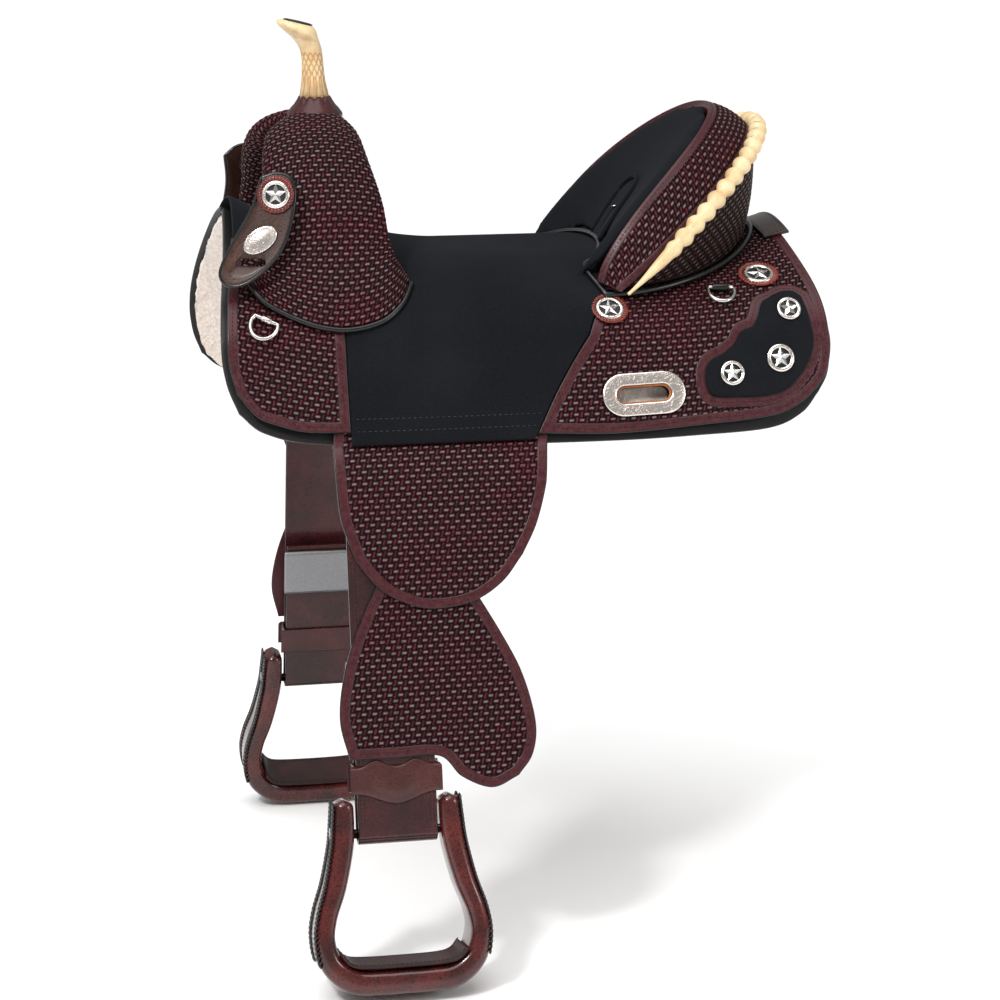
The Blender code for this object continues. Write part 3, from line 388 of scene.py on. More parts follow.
# ---------------------------------------------------------------- shape helpers
def ease(value, low, high):
    """0 below low, 1 above high, smooth between."""
    u = np.clip((np.asarray(value, float) - low) / (high - low), 0.0, 1.0)
    return u * u * (3 - 2 * u)


def unit(vectors):
    vectors = np.asarray(vectors, float)
    return vectors / np.maximum(np.linalg.norm(vectors, axis=-1, keepdims=True), 1e-12)


def travelled(points):
    """Distance run along a line of points."""
    return np.concatenate([[0], np.cumsum(np.linalg.norm(np.diff(points, axis=0), axis=1))])


def turns(count):
    """Even angles once round."""
    return np.linspace(0, 2 * math.pi, count, endpoint=False)


def sample(table, steps, where):
    """A table's rows read off where its run has come this far."""
    return np.stack([np.interp(where, steps, column) for column in table.T], -1)


def smooth_curve(points, pieces=12):
    """Fine points of a curve that passes smoothly through the given ones."""
    p = np.asarray(points, float)
    p = np.vstack([2 * p[0] - p[1], p, 2 * p[-1] - p[-2]])
    fine = []
    for i in range(1, len(p) - 2):
        a, b, c, d = p[i - 1], p[i], p[i + 1], p[i + 2]
        for u in np.linspace(0, 1, pieces, endpoint=False):
            fine.append(0.5 * (2 * b + (c - a) * u + (2 * a - 5 * b + 4 * c - d) * u**2
                               + (3 * b - a - 3 * c + d) * u**3))
    fine.append(p[-2])
    return np.array(fine)


def along_curve(points, shares):
    """Points at these shares of the way along the smooth curve through the given ones."""
    fine = smooth_curve(points)
    steps = travelled(fine)
    return sample(fine, steps, np.asarray(shares) * steps[-1])


def even(points, count):
    return along_curve(points, np.linspace(0, 1, count))


def shares_for(length, spacing):
    """Even shares with closer ones at both ends, where a leather's edge rounds off."""
    close = np.array([0.0, 0.35, 0.9, 1.7]) * MM / length
    inside = np.linspace(close[-1], 1 - close[-1], max(3, round(length / spacing)))
    return np.concatenate([close[:-1], inside, 1 - close[:-1][::-1]])


def grid_normals(points, wrap=False):
    """Normals of a grid of points, to the right of its columns as its rows rise."""
    if wrap:
        across = np.roll(points, -1, 1) - np.roll(points, 1, 1)
    else:
        across = np.gradient(points, axis=1)
    return unit(np.cross(np.gradient(points, axis=0), across))


def distance_to_lines(points, lines):
    """Least distance in the plane from each point to any of these lines of points."""
    best = np.full(len(points), 1.0)
    for line in lines:
        for a, b in zip(line[:-1], line[1:]):
            run = b - a
            share = np.clip((points - a) @ run / max(run @ run, 1e-12), 0, 1)
            gap = np.linalg.norm(points - a - share[:, None] * run, axis=1)
            np.minimum(best, gap, out=best)
    return best


def grid_quads(rows, columns, start=0, wrap=False):
    i, j = np.meshgrid(np.arange(rows - 1), np.arange(columns if wrap else columns - 1),
                       indexing="ij")
    k = (j + 1) % columns
    quads = np.stack([i * columns + j, i * columns + k, (i + 1) * columns + k,
                      (i + 1) * columns + j], -1)
    return quads.reshape(-1, 4) + start


def link(thing):
    bpy.context.scene.collection.objects.link(thing)
    return thing


def make_piece(name, points, faces, look, body, uv=None, edge=None):
    mesh = bpy.data.meshes.new(name)
    mesh.from_pydata(np.asarray(points).tolist(), [], [tuple(map(int, f)) for f in faces])
    mesh.polygons.foreach_set("use_smooth", np.ones(len(mesh.polygons), bool))
    if uv is not None:
        corner = np.zeros(len(mesh.loops), int)
        mesh.loops.foreach_get("vertex_index", corner)
        layer = mesh.uv_layers.new(name="UVMap")
        layer.data.foreach_set("uv", np.asarray(uv, np.float32)[corner].ravel())
    values = np.full(len(points), 0.05) if edge is None else np.asarray(edge)
    mesh.attributes.new("edge", "FLOAT", "POINT").data.foreach_set(
        "value", values.astype(np.float32))
    mesh.update()
    piece = link(bpy.data.objects.new(name, mesh))
    mesh.materials.append(LOOKS[look])
    if body:
        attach(piece, body)
    return piece


def shell(name, outer, inner, look, body, uv=None, edge=None, wrap=False):
    """A closed sheet between two grids of points; wrap closes it round its columns."""
    rows, columns = outer.shape[:2]
    count = rows * columns
    faces = [grid_quads(rows, columns, wrap=wrap),
             grid_quads(rows, columns, count, wrap)[:, ::-1]]
    lines = [np.arange(columns), (rows - 1) * columns + np.arange(columns)[::-1]]
    if not wrap:
        lines += [np.arange(rows)[::-1] * columns, np.arange(rows) * columns + columns - 1]
    for line in lines:
        if wrap:
            line = np.append(line, line[0])
        faces.append(np.stack([line[1:], line[:-1], line[:-1] + count, line[1:] + count], 1))
    points = np.concatenate([outer.reshape(-1, 3), inner.reshape(-1, 3)])
    if uv is not None:
        uv = np.concatenate([uv.reshape(-1, 2)] * 2)
    if edge is not None:
        edge = np.concatenate([edge.ravel(), np.full(count, 4 * MM)])
    faces = np.concatenate(faces)
    normal = grid_normals(outer, wrap)[rows // 2, columns // 2]
    outward = (outer - inner)[rows // 2, columns // 2]
    if normal @ outward > 0:
        faces = faces[:, ::-1]
    return make_piece(name, points, faces, look, body, uv, edge)


def rounding(edge, radius=1.2 * MM):
    """How far a leather's face drops as it rounds over at its edge."""
    inside = np.clip(1 - edge / radius, 0, 1)
    return radius * 0.7 * (1 - np.sqrt(1 - inside**2))


def rings_piece(name, rings, look, body, caps=True, edge=None, uv=None):
    """A body through closed rings of equally many points."""
    rings = np.asarray(rings)
    rows, columns = rings.shape[:2]
    faces = [tuple(f) for f in grid_quads(rows, columns, wrap=True)]
    if caps:
        faces.append(tuple(range(columns))[::-1])
        faces.append(tuple(range((rows - 1) * columns, rows * columns)))
    middle = rings[rows // 2].mean(axis=0)
    normal = grid_normals(rings, True)[rows // 2, 0]
    if normal @ (rings[rows // 2, 0] - middle) > 0:
        faces = [f[::-1] for f in faces]
    return make_piece(name, rings.reshape(-1, 3), faces, look, body,
                      None if uv is None else uv.reshape(-1, 2),
                      None if edge is None else edge.ravel())


def frames_along(path, closed=False):
    """Tangent, side and up of a line of points, the up turning as little as it can."""
    if closed:
        run = unit(np.roll(path, -1, 0) - np.roll(path, 1, 0))
    else:
        run = unit(np.gradient(path, axis=0))
    up = np.array([0.0, 0.0, 1.0]) if abs(run[0][2]) < 0.9 else X_AXIS
    ups = []
    for tangent in run:
        up = unit(up - (up @ tangent) * tangent)
        ups.append(up)
    ups = np.array(ups)
    return run, unit(np.cross(run, ups)), ups


def tube(name, path, radius, look, body, closed=False, around=12, ups=None):
    """A round cord along a line of points; radius may be one number or one for each point."""
    path = np.asarray(path, float)
    run, side, up = frames_along(path, closed)
    if ups is not None:
        up = unit(ups - np.sum(ups * run, 1, keepdims=True) * run)
        side = unit(np.cross(run, up))
    radius = np.broadcast_to(radius, len(path))[:, None, None]
    angle = turns(around)[None, :, None]
    rings = path[:, None] + radius * (np.cos(angle) * side[:, None]
                                      + np.sin(angle) * up[:, None])
    if closed:
        rings = np.concatenate([rings, rings[:1]])
    piece = rings_piece(name, rings, look, body, caps=not closed)
    if closed:
        weld(piece)
    return piece


def weld(piece):
    """Joins points that lie on each other."""
    shell_mesh = bmesh.new()
    shell_mesh.from_mesh(piece.data)
    bmesh.ops.remove_doubles(shell_mesh, verts=shell_mesh.verts, dist=1e-6)
    shell_mesh.to_mesh(piece.data)
    shell_mesh.free()


def beads(name, centres, longs, ups, size, look, body, around=8, rows=5):
    """Many small rounded lumps in one piece: size is half length, half width, half height."""
    longs, ups = unit(longs), np.asarray(ups, float)
    ups = unit(ups - np.sum(ups * longs, 1, keepdims=True) * longs)
    sides = np.cross(longs, ups)
    lump, faces = [], []
    for i in range(rows):
        tilt = math.pi * (i + 0.5) / rows - math.pi / 2
        for k in range(around):
            turn = 2 * math.pi * k / around
            lump.append((math.sin(tilt), math.cos(tilt) * math.cos(turn),
                         math.cos(tilt) * math.sin(turn)))
    lump += [(-1, 0, 0), (1, 0, 0)]
    faces = [tuple(f) for f in grid_quads(rows, around, wrap=True)]
    last = rows * around
    for k in range(around):
        n = (k + 1) % around
        faces.append((last, n, k))
        faces.append((last + 1, last - around + k, last - around + n))
    lump = np.array(lump) * np.asarray(size)
    count = len(lump)
    points = (centres[:, None] + lump[None, :, 0:1] * longs[:, None]
              + lump[None, :, 1:2] * sides[:, None] + lump[None, :, 2:3] * ups[:, None])
    every = [tuple(v + i * count for v in f) for i in range(len(centres)) for f in faces]
    return make_piece(name, points.reshape(-1, 3), every, look, body)


def stitches(name, lines, look, body, pitch=STITCH_PITCH):
    """Thread along lines, each given as its points and the outward direction at each."""
    centres, longs, ups = [], [], []
    for points, outs in lines:
        steps = travelled(points)
        where = np.arange(pitch / 2, steps[-1], pitch)
        centres.append(sample(points, steps, where))
        longs.append(sample(points, steps, where + 0.5 * MM)
                     - sample(points, steps, where - 0.5 * MM))
        ups.append(sample(outs, steps, where))
    return beads(name, np.concatenate(centres), np.concatenate(longs), np.concatenate(ups),
                 (STITCH_LONG / 2, STITCH_RADIUS, STITCH_RADIUS), look, body, 6, 3)


# ---------------------------------------------------------------- the drape surface
XS, SS = np.linspace(-0.36, 0.36, 241), np.linspace(0, 1, 201)


def section(x, steps=60):
    """The half section at x: shares of its length and its points (y, z)."""
    crown = (WITHER_RISE * max(0.0, (WITHER_START - x) / WITHER_RUN)**1.6
             + LOIN_RISE * max(0.0, (x - LOIN_START) / LOIN_RUN)**1.6)
    a, b = np.array([0.0, crown]), np.array([CROWN_REACH, crown])
    c = SHOULDER + SHOULDER_EASE * unit(SHOULDER - HEM)
    u = np.linspace(0, 1, steps)[:, None]
    upper = (1 - u)**3 * a + 3 * u * (1 - u)**2 * b + 3 * u**2 * (1 - u) * c + u**3 * SHOULDER
    points = np.vstack([upper, SHOULDER + (HEM - SHOULDER) * u[1:]])
    length = travelled(points)
    return length / length[-1], points


def flank_tables():
    """Places and outward normals of the flank, by station and share."""
    places = []
    for x in XS:
        shares, points = section(x)
        places.append([np.full(len(SS), x)] + [np.interp(SS, shares, points[:, k])
                                               for k in (0, 1)])
    places = np.moveaxis(np.array(places), 1, -1)
    normals = unit(np.cross(np.gradient(places, XS, axis=0), np.gradient(places, SS, axis=1)))
    return places, normals


PLACES, NORMALS = flank_tables()
OUTER_SKIN = PLACES + unit(NORMALS) * OUTER_T
ARCS = np.concatenate([np.zeros((len(XS), 1)), np.cumsum(np.linalg.norm(
    np.diff(OUTER_SKIN, axis=1), axis=2), axis=1)], axis=1)[..., None]


def lookup(table, x, s):
    i = np.clip((x - XS[0]) / (XS[1] - XS[0]), 0, len(XS) - 1.001)
    j = np.clip(s / (SS[1] - SS[0]), 0, len(SS) - 1.001)
    i0, j0 = i.astype(int), j.astype(int)
    a, b = (i - i0)[..., None], (j - j0)[..., None]
    return ((1 - a) * (1 - b) * table[i0, j0] + a * (1 - b) * table[i0 + 1, j0]
            + (1 - a) * b * table[i0, j0 + 1] + a * b * table[i0 + 1, j0 + 1])


def mirror_of(s):
    sign = np.where(np.asarray(s) < 0, -1.0, 1.0)
    return np.stack([np.ones_like(sign), sign, np.ones_like(sign)], -1)


def drape_normal(x, s):
    x, s = np.broadcast_arrays(np.asarray(x, float), np.asarray(s, float))
    return unit(lookup(NORMALS, x, np.abs(s))) * mirror_of(s)


def drape(x, s, t):
    x, s = np.broadcast_arrays(np.asarray(x, float), np.asarray(s, float))
    t = np.broadcast_to(np.asarray(t, float), x.shape)[..., None]
    return lookup(PLACES, x, np.abs(s)) * mirror_of(s) + drape_normal(x, s) * t


def s_at_height(x, z):
    """How far round the section the outer leather stands at height z."""
    shares = np.linspace(0, 1, 161)
    return float(np.interp(-z, -drape(x, shares, OUTER_T)[:, 2], shares))


def skin_height(x, y, t):
    places = drape(x, np.linspace(0, 1, 161), t)
    return float(np.interp(abs(y), places[:, 1], places[:, 2]))


def outline(points):
    return [(x, s_at_height(x, z)) for x, z in points]


def jockey_t(s):
    return JOCKEY_OVER_BAR_T + (JOCKEY_T - JOCKEY_OVER_BAR_T) * ease(np.abs(s), 0.60, 0.72)


def seat_t(s):
    return SEAT_CROWN_T + (SEAT_T - SEAT_CROWN_T) * ease(np.abs(s), 0.22, 0.64)


def top_t(s):
    return np.maximum(jockey_t(s), seat_t(s)) + JOCKEY_THICK / 2


def constant(value):
    return lambda s: value + 0.0 * s


class Flank:
    """One leather layer of the flank, addressed by (x, s)."""

    def __init__(self, side, t_of):
        self.side, self.t_of = side, t_of

    def chart(self, grid):
        """(x, distance round the outer leather), true lengths for stamps and borders."""
        grid = np.asarray(grid, float)
        x, s = grid[..., 0], grid[..., 1]
        return np.stack([x, lookup(ARCS, x, np.abs(s))[..., 0] * np.sign(s)], -1)

    def unchart(self, flat):
        s = []
        for x, far in flat:
            row = np.argmin(np.abs(XS - x))
            s.append(math.copysign(np.interp(abs(far), ARCS[row, :, 0], SS), far))
        return np.stack([flat[:, 0], s], -1)

    def points(self, grid, lift=0.0):
        s = self.side * grid[..., 1]
        return drape(grid[..., 0], s, self.t_of(s) + lift)

    def outs(self, grid):
        return drape_normal(grid[..., 0], self.side * grid[..., 1])


class LegPlane:
    """One leather layer of a leg, addressed by (x, distance down the leg)."""

    def __init__(self, side, level):
        self.side, self.level = side, level
        self.down = np.array([0.0, side * math.sin(LEAN), -math.cos(LEAN)])
        self.out = np.array([0.0, side * math.cos(LEAN), math.sin(LEAN)])
        self.top = np.array([0.0, side * LIFT_Y, LIFT_Z])

    def chart(self, grid):
        return np.asarray(grid, float)

    def unchart(self, flat):
        return flat

    def points(self, grid, lift=0.0):
        grid = np.asarray(grid, float)
        x, down = grid[..., 0:1], grid[..., 1:2]
        lift = np.broadcast_to(np.asarray(lift, float), grid.shape[:-1])[..., None]
        return self.top + x * X_AXIS + down * self.down + (self.level(down) + lift) * self.out

    def outs(self, grid):
        return np.broadcast_to(self.out, (*np.shape(grid)[:-1], 3))


# ---------------------------------------------------------------- worked leather panels
def coons(edges, u, v):
    """Fills an outline's four edges with a grid at these shares across and down."""
    left, right = along_curve(edges["left"], v)[:, None], along_curve(edges["right"], v)[:, None]
    top, bottom = along_curve(edges["top"], u)[None], along_curve(edges["bottom"], u)[None]
    u, v = u[None, :, None], v[:, None, None]
    corners = ((1 - u) * (1 - v) * top[:, :1] + u * (1 - v) * top[:, -1:]
               + (1 - u) * v * bottom[:, :1] + u * v * bottom[:, -1:])
    return (1 - u) * left + u * right + (1 - v) * top + v * bottom - corners


def inset_lines(line, every, distance, turn):
    """A line moved sideways, in the stretches that stay that far from every border."""
    run = unit(np.gradient(line, axis=0))
    moved = line + turn * distance * np.stack([-run[:, 1], run[:, 0]], 1)
    clear = distance_to_lines(moved, every) > distance - 0.4 * MM
    stretches, now = [], []
    for point, good in zip(moved, clear):
        if good:
            now.append(point)
        elif now:
            stretches.append(np.array(now))
            now = []
    if now:
        stretches.append(np.array(now))
    return [s for s in stretches if len(s) > 3]


def leather(name, surface, edges, thickness, look, body, worked=("left", "right", "bottom"),
            around_inside=(), stamp=True, thread="thread", spacing=GRID, puff=0.0,
            stitch_in=STITCH_IN):
    """A panel with rounded edges, stamping inside its plain border, and stitches along it.

    worked names the edges that have a border; around_inside gives outlines of pieces laid on
    the panel, which have a border round them too.
    """
    flat_edges = {k: surface.chart(smooth_curve(v)) for k, v in edges.items()}
    rows = travelled(flat_edges["left"])[-1]
    columns = max(travelled(flat_edges[k])[-1] for k in ("top", "bottom"))
    grid = coons(edges, shares_for(columns, spacing), shares_for(rows, spacing))
    flat = surface.chart(grid)
    laid = [surface.chart(np.asarray(line)) for line in around_inside]
    borders = [flat_edges[k] for k in worked] + laid
    cells = flat.reshape(-1, 2)
    edge = distance_to_lines(cells, borders).reshape(flat.shape[:2])
    rim = distance_to_lines(cells, list(flat_edges.values())).reshape(edge.shape)
    lift = thickness / 2 - rounding(rim) + puff * (1 - np.exp(-rim / PUFF_RUN))
    if stamp:
        lift = lift - STAMP_DEPTH * (1 - weave(flat[..., 0], flat[..., 1])) * ease(
            edge, BORDER, BORDER + 1.0 * MM)
    piece = shell(name, surface.points(grid, lift), surface.points(grid, -thickness / 2), look,
                  body, flat, edge)
    if thread:
        height = thickness / 2 + puff * (1 - math.exp(-stitch_in / PUFF_RUN))
        places = [surface.unchart(line)
                  for line in thread_lines(flat_edges, worked, laid, borders, stitch_in)]
        sewn = [(surface.points(place, height), surface.outs(place)) for place in places]
        stitches(f"stitches_{name}", sewn, thread, body)
    return piece


def thread_lines(flat_edges, worked, laid, borders, stitch_in):
    """Where thread runs: inside the worked edges, and round the pieces laid on."""
    turn = line_turn(np.concatenate([flat_edges["top"], flat_edges["right"],
                                     flat_edges["bottom"][::-1], flat_edges["left"][::-1]]))
    rows = []
    for key in worked:
        forward = flat_edges[key] if key in ("top", "right") else flat_edges[key][::-1]
        rows += inset_lines(forward, borders, stitch_in, turn)
    for line in laid:
        rows += inset_lines(line, borders, stitch_in, -line_turn(line))
    return rows


def line_turn(loop):
    """+1 where the inside of a loop lies to the left of its run, -1 where to the right."""
    x, y = loop[:, 0], loop[:, 1]
    return math.copysign(1.0, float(np.sum(x * np.roll(y, -1) - np.roll(x, -1) * y)))


def sewn_rows(name, surface, lines, look, body, lift=JOCKEY_THICK / 2,
              pitch=STITCH_PITCH):
    """Thread along lines given on a surface."""
    places = [even(line, 80) for line in lines]
    rows = [(surface.points(place, lift), surface.outs(place)) for place in places]
    return stitches(name, rows, look, body, pitch)


def cut_hole(piece, rings):
    """Cuts a closed loft of rings out of a piece, for good."""
    cutter = rings_piece("cutter", rings, "steel", None)
    hole = piece.modifiers.new("hole", "BOOLEAN")
    hole.operation, hole.solver, hole.object = "DIFFERENCE", "EXACT", cutter
    settle(piece)
    bpy.data.objects.remove(cutter)


def settle(piece):
    """Makes what a piece's modifiers give its own mesh."""
    piece.data = bpy.data.meshes.new_from_object(
        piece.evaluated_get(bpy.context.evaluated_depsgraph_get()))
    piece.modifiers.clear()


# ---------------------------------------------------------------- skirts and fleece
SKIRT_EDGES = {
    "top": [(-0.288, 0.015), (-0.10, 0.015), (0.10, 0.015), (0.288, 0.015)],
    "left": [(-0.288, 0.015)] + outline([(-0.292, 0.070), (-0.300, -0.007), (-0.2975, -0.051),
                                         (-0.287, -0.080)]),
    "bottom": outline([(-0.287, -0.080), (-0.262, -0.099), (-0.204, -0.1105), (-0.041, -0.1160),
                       (0.0765, -0.1172), (0.1563, -0.1155), (0.2300, -0.1115),
                       (0.2640, -0.0990), (0.2830, -0.0800)]),
    "right": [(0.288, 0.015)] + outline([(0.2895, 0.040), (0.2950, 0.002), (0.2985, -0.034),
                                         (0.2940, -0.062), (0.2830, -0.0800)]),
}


FLEECE_SHARE = 0.982  # how much of the skirt's outline the fleece fills
FLEECE_NAP = 1.5 * MM  # what the tufts add to the fleece's thickness
TUFT_SIZE, TUFT_HEIGHT = 90.0, 1.76 * MM


def inset_edges(edges, share):
    """The same outline drawn in towards the middle, except along the crown."""
    return {key: [(x * share, s * share if s > 0.05 else s) for x, s in points]
            for key, points in edges.items()}


def make_skirts():
    for side, word in SIDES:
        skirt = leather(f"skirt_leather_{word}", Flank(side, constant(SKIRT_T)), SKIRT_EDGES,
                        SKIRT_THICK, "skirt", "root", stamp=False, thread=None,
                        spacing=4 * MM)
        cut_hole(skirt, rig_slot_rings(side))
        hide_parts(f"skirt_{word}")
        fleece = leather(f"fleece_lining_{word}", Flank(side, constant(FLEECE_T)),
                         inset_edges(SKIRT_EDGES, FLEECE_SHARE), FLEECE_THICK - FLEECE_NAP,
                         "wool", "root", stamp=False, thread=None,
                         spacing=2.6 * MM)
        fluff(fleece)
        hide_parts(f"fleece_{word}")


def fluff(piece):
    """Pushes the points of a fleece in and out in tufts."""
    vertices = piece.data.vertices
    places = []
    for vertex in vertices:
        place = vertex.co * TUFT_SIZE
        tuft = noise.noise(place) + 0.5 * noise.noise(place * 2.7)
        places.append(vertex.co + vertex.normal * TUFT_HEIGHT * tuft)
    for vertex, place in zip(vertices, places):
        vertex.co = place


# ---------------------------------------------------------------- seat and jockeys
SEAT_REAR = [(0.0990, 0.0), (0.0960, 0.25), (0.0840, 0.47), (0.0551, 0.584),
             (0.0215, 0.779), (-0.0064, 0.985)]
FRONT_EDGES = {
    "top": [(-0.2885, WITHER_S), (FRONT_SPLIT_X, WITHER_S)],
    "left": [(-0.2885, WITHER_S)] + outline([(-0.2935, 0.018), (-0.2955, -0.0335),
                                             (-0.2890, -0.064)]),
    "bottom": outline([(-0.2890, -0.064), (-0.272, -0.0850), (-0.2506, -0.0942),
                       (-0.2250, -0.1005), (FRONT_SPLIT_X, -0.1025)]),
    "right": [(FRONT_SPLIT_X, WITHER_S), (FRONT_SPLIT_X, 0.6)]
             + outline([(FRONT_SPLIT_X, -0.1025)]),
}
REAR_LEFT = [(x + LOOSE, max(s, 0.015)) for x, s in SEAT_REAR[:-1]] + [(-0.0030, 0.965)]
REAR_EDGES = {
    "top": [REAR_LEFT[0], (0.20, 0.015), (0.2860, 0.015)],
    "left": REAR_LEFT,
    "bottom": [REAR_LEFT[-1]] + outline([(0.0765, -0.1125), (0.157, -0.1080), (0.228, -0.1025),
                                         (0.2592, -0.0918), (0.2780, -0.0780)]),
    "right": [(0.2860, 0.015)] + outline([(0.2865, 0.0392), (0.2930, -0.0067),
                                          (0.2955, -0.0391), (0.2890, -0.0640),
                                          (0.2780, -0.0780)]),
}
INLAY_EDGES = {
    "top": outline([(0.2430, 0.0040), (0.2520, 0.0080), (0.2640, 0.0082), (0.2715, 0.0040)]),
    "left": outline([(0.2430, 0.0040), (0.2310, 0.0005), (0.2245, -0.0100), (0.2180, -0.0195),
                     (0.2060, -0.0240), (0.1990, -0.0345), (0.1860, -0.0440),
                     (0.1735, -0.0495), (0.1680, -0.0560)]),
    "bottom": outline([(0.1680, -0.0560), (0.1665, -0.0700), (0.1730, -0.0822),
                       (0.2000, -0.0838), (0.2276, -0.0832), (0.2480, -0.0775),
                       (0.2650, -0.0625)]),
    "right": outline([(0.2715, 0.0040), (0.2773, -0.0291), (0.2750, -0.0450),
                      (0.2650, -0.0625)]),
}


def inlay_outline():
    parts = [smooth_curve(INLAY_EDGES["top"]), smooth_curve(INLAY_EDGES["right"])[1:],
             smooth_curve(INLAY_EDGES["bottom"])[::-1][1:],
             smooth_curve(INLAY_EDGES["left"])[::-1][1:]]
    return np.concatenate(parts)


SEAT_REACH, HALF_ROUND = 0.985, 0.225  # the seat's hem, and metres round the half section
SEAT_PUFF, SEAT_SEAMS, SEAM_SHORT = 1.6 * MM, (11 * MM, 21.5 * MM), 4 * MM
INLAY_THICK, INLAY_PUFF = 2.0 * MM, 2.2 * MM
WITHER_SEAM_X, HOUSING_THICK = -0.268, 3.0 * MM
HOUSING_FRONT, HOUSING_REAR, HOUSING_REACH = 0.2665, 0.2930, 0.19


def make_seat():
    front = [(FRONT_SPLIT_X + GAP, s) for s in (-SEAT_REACH, -0.5, 0.0, 0.5, SEAT_REACH)]
    rear = [(x, -s) for x, s in reversed(SEAT_REAR)] + SEAT_REAR[1:]
    edges = {"left": front, "right": rear, "top": [front[0], rear[0]],
             "bottom": [front[-1], rear[-1]]}
    surface = Flank(OFF, seat_t)
    seat = leather("seat_suede", surface, edges, JOCKEY_THICK, "suede", "root",
                   stamp=False, thread=None, spacing=3 * MM, puff=SEAT_PUFF)
    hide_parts("seat", "ground_seat")
    lines = []
    for side, _ in SIDES:
        for inset in SEAT_SEAMS:
            s = SEAT_REACH - inset / HALF_ROUND
            rear_x = float(np.interp(s, [p[1] for p in SEAT_REAR], [p[0] for p in SEAT_REAR]))
            lines.append([(FRONT_SPLIT_X + SEAM_SHORT, side * s),
                          (rear_x - SEAM_SHORT, side * s)])
    sewn_rows("stitches_seat", surface, lines, "black_thread", "root",
              JOCKEY_THICK / 2 + 1.5 * MM, 5.5 * MM)


def make_jockeys():
    for side, word in SIDES:
        surface = Flank(side, jockey_t)
        front = leather(f"front_jockey_leather_{word}", surface, FRONT_EDGES, JOCKEY_THICK,
                        "basket", "root")
        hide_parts(f"front_jockey_{word}")
        rear = leather(f"rear_jockey_leather_{word}", surface, REAR_EDGES, JOCKEY_THICK,
                       "basket", "root", around_inside=[inlay_outline()])
        cut_hole(rear, rig_slot_rings(side))
        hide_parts(f"rear_jockey_{word}")
        inlay_t = OUTER_T + LOOSE + 0.4 * INLAY_THICK - JOCKEY_T
        inlay = leather(f"inlay_suede_{word}", Flank(side, lambda s: inlay_t + jockey_t(s)),
                        INLAY_EDGES, INLAY_THICK, "suede", "root", stamp=False,
                        thread=None, spacing=2 * MM, puff=INLAY_PUFF)
        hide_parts(f"jockey_inlay_{word}")


def across_edges(x_front, x_rear, reach):
    return {"left": [(x_front, -reach), (x_front, 0.0), (x_front, reach)],
            "right": [(x_rear, -reach), (x_rear, 0.0), (x_rear, reach)],
            "top": [(x_front, -reach), (x_rear, -reach)],
            "bottom": [(x_front, reach), (x_rear, reach)]}


def make_wither_and_housing():
    surface = Flank(OFF, constant(JOCKEY_OVER_BAR_T))
    cover = leather("wither_suede", surface, across_edges(-0.2870, FRONT_SPLIT_X - GAP,
                                                          WITHER_S - 0.006),
                    JOCKEY_THICK, "suede", "root", stamp=False, thread=None,
                    spacing=3 * MM)
    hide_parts("wither_cover")
    seam_s = WITHER_S - 0.05
    seam = [(WITHER_SEAM_X, s) for s in (-seam_s, 0.0, seam_s)]
    sewn_rows("stitches_wither", surface, [seam], "black_thread", "root")
    housing_t = JOCKEY_OVER_BAR_T + JOCKEY_THICK / 2 + GAP + HOUSING_THICK / 2
    housing = leather("rear_housing_leather", Flank(OFF, constant(housing_t)),
                      across_edges(HOUSING_FRONT, HOUSING_REAR, HOUSING_REACH), HOUSING_THICK,
                      "housing", "root",
                      worked=("left", "right", "top", "bottom"), stamp=False, stitch_in=3 * MM)
    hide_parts("rear_housing")


# ---------------------------------------------------------------- silver and rings
def stadium(half, high, steps=16):
    angles = np.linspace(-math.pi / 2, math.pi / 2, steps + 1)
    right = np.stack([half - high + high * np.cos(angles), high * np.sin(angles)], 1)
    return np.concatenate([right, -right])


def frame_on_skin(x, z, side, t, turn=0.0):
    """Axes on the side: along, up the section, outward; then the place."""
    s = side * s_at_height(x, z)
    place, out = drape(x, s, t), drape_normal(x, s)
    along = unit(X_AXIS - out[0] * out)
    up = np.cross(out, along)
    up = up * math.copysign(1, up[2])
    return turned((along, up, out, place), turn)


def at(axes, a, b, c=0.0):
    """Points in a frame of three axes and a place; a, b and c may be arrays."""
    along, up, out, place = axes
    a, b, c = np.broadcast_arrays(a, b, c)
    return place + a[..., None] * along + b[..., None] * up + c[..., None] * out


def moved(axes, by):
    """The same axes from a place that lies this far off."""
    return (*axes[:3], axes[3] + by)


def turned(axes, angle):
    """The same axes turned about the outward one."""
    along, up, out, place = axes
    c, n = math.cos(angle), math.sin(angle)
    return c * along + n * up, c * up - n * along, out, place


RIG_PLACE, RIG_HALF, RIG_HIGH = (0.1036, -0.0779), 0.0415, 0.0210
SLOT_HALF, SLOT_HIGH = 0.0275, 0.0088


def rig_axes(side, t):
    return frame_on_skin(*RIG_PLACE, side, t, math.radians(2.0))


def rig_slot_rings(side):
    shape = stadium(SLOT_HALF, SLOT_HIGH)
    axes = rig_axes(side, 0.0)
    return [at(axes, shape[:, 0], shape[:, 1], level)
            for level in (FLEECE_THICK + 0.1 * MM, OUTER_T + 3 * MM)]


def domed_ring(name, axes, inner, outer, heights):
    """A silver plate between two outlines: heights are (share outward, height) pairs."""
    rings, edges = [], []
    far = np.linalg.norm(outer - inner, axis=1).mean()
    for share, height in heights:
        line = inner + (outer - inner) * share
        rings.append(at(axes, line[:, 0], line[:, 1], height))
        edges.append(np.full(len(line), min(share, 1 - share) * far))
    rings.append(rings[0])
    edges.append(edges[0])
    piece = rings_piece(name, rings, "silver", "root", caps=False,
                        edge=np.array(edges))
    weld(piece)
    return piece


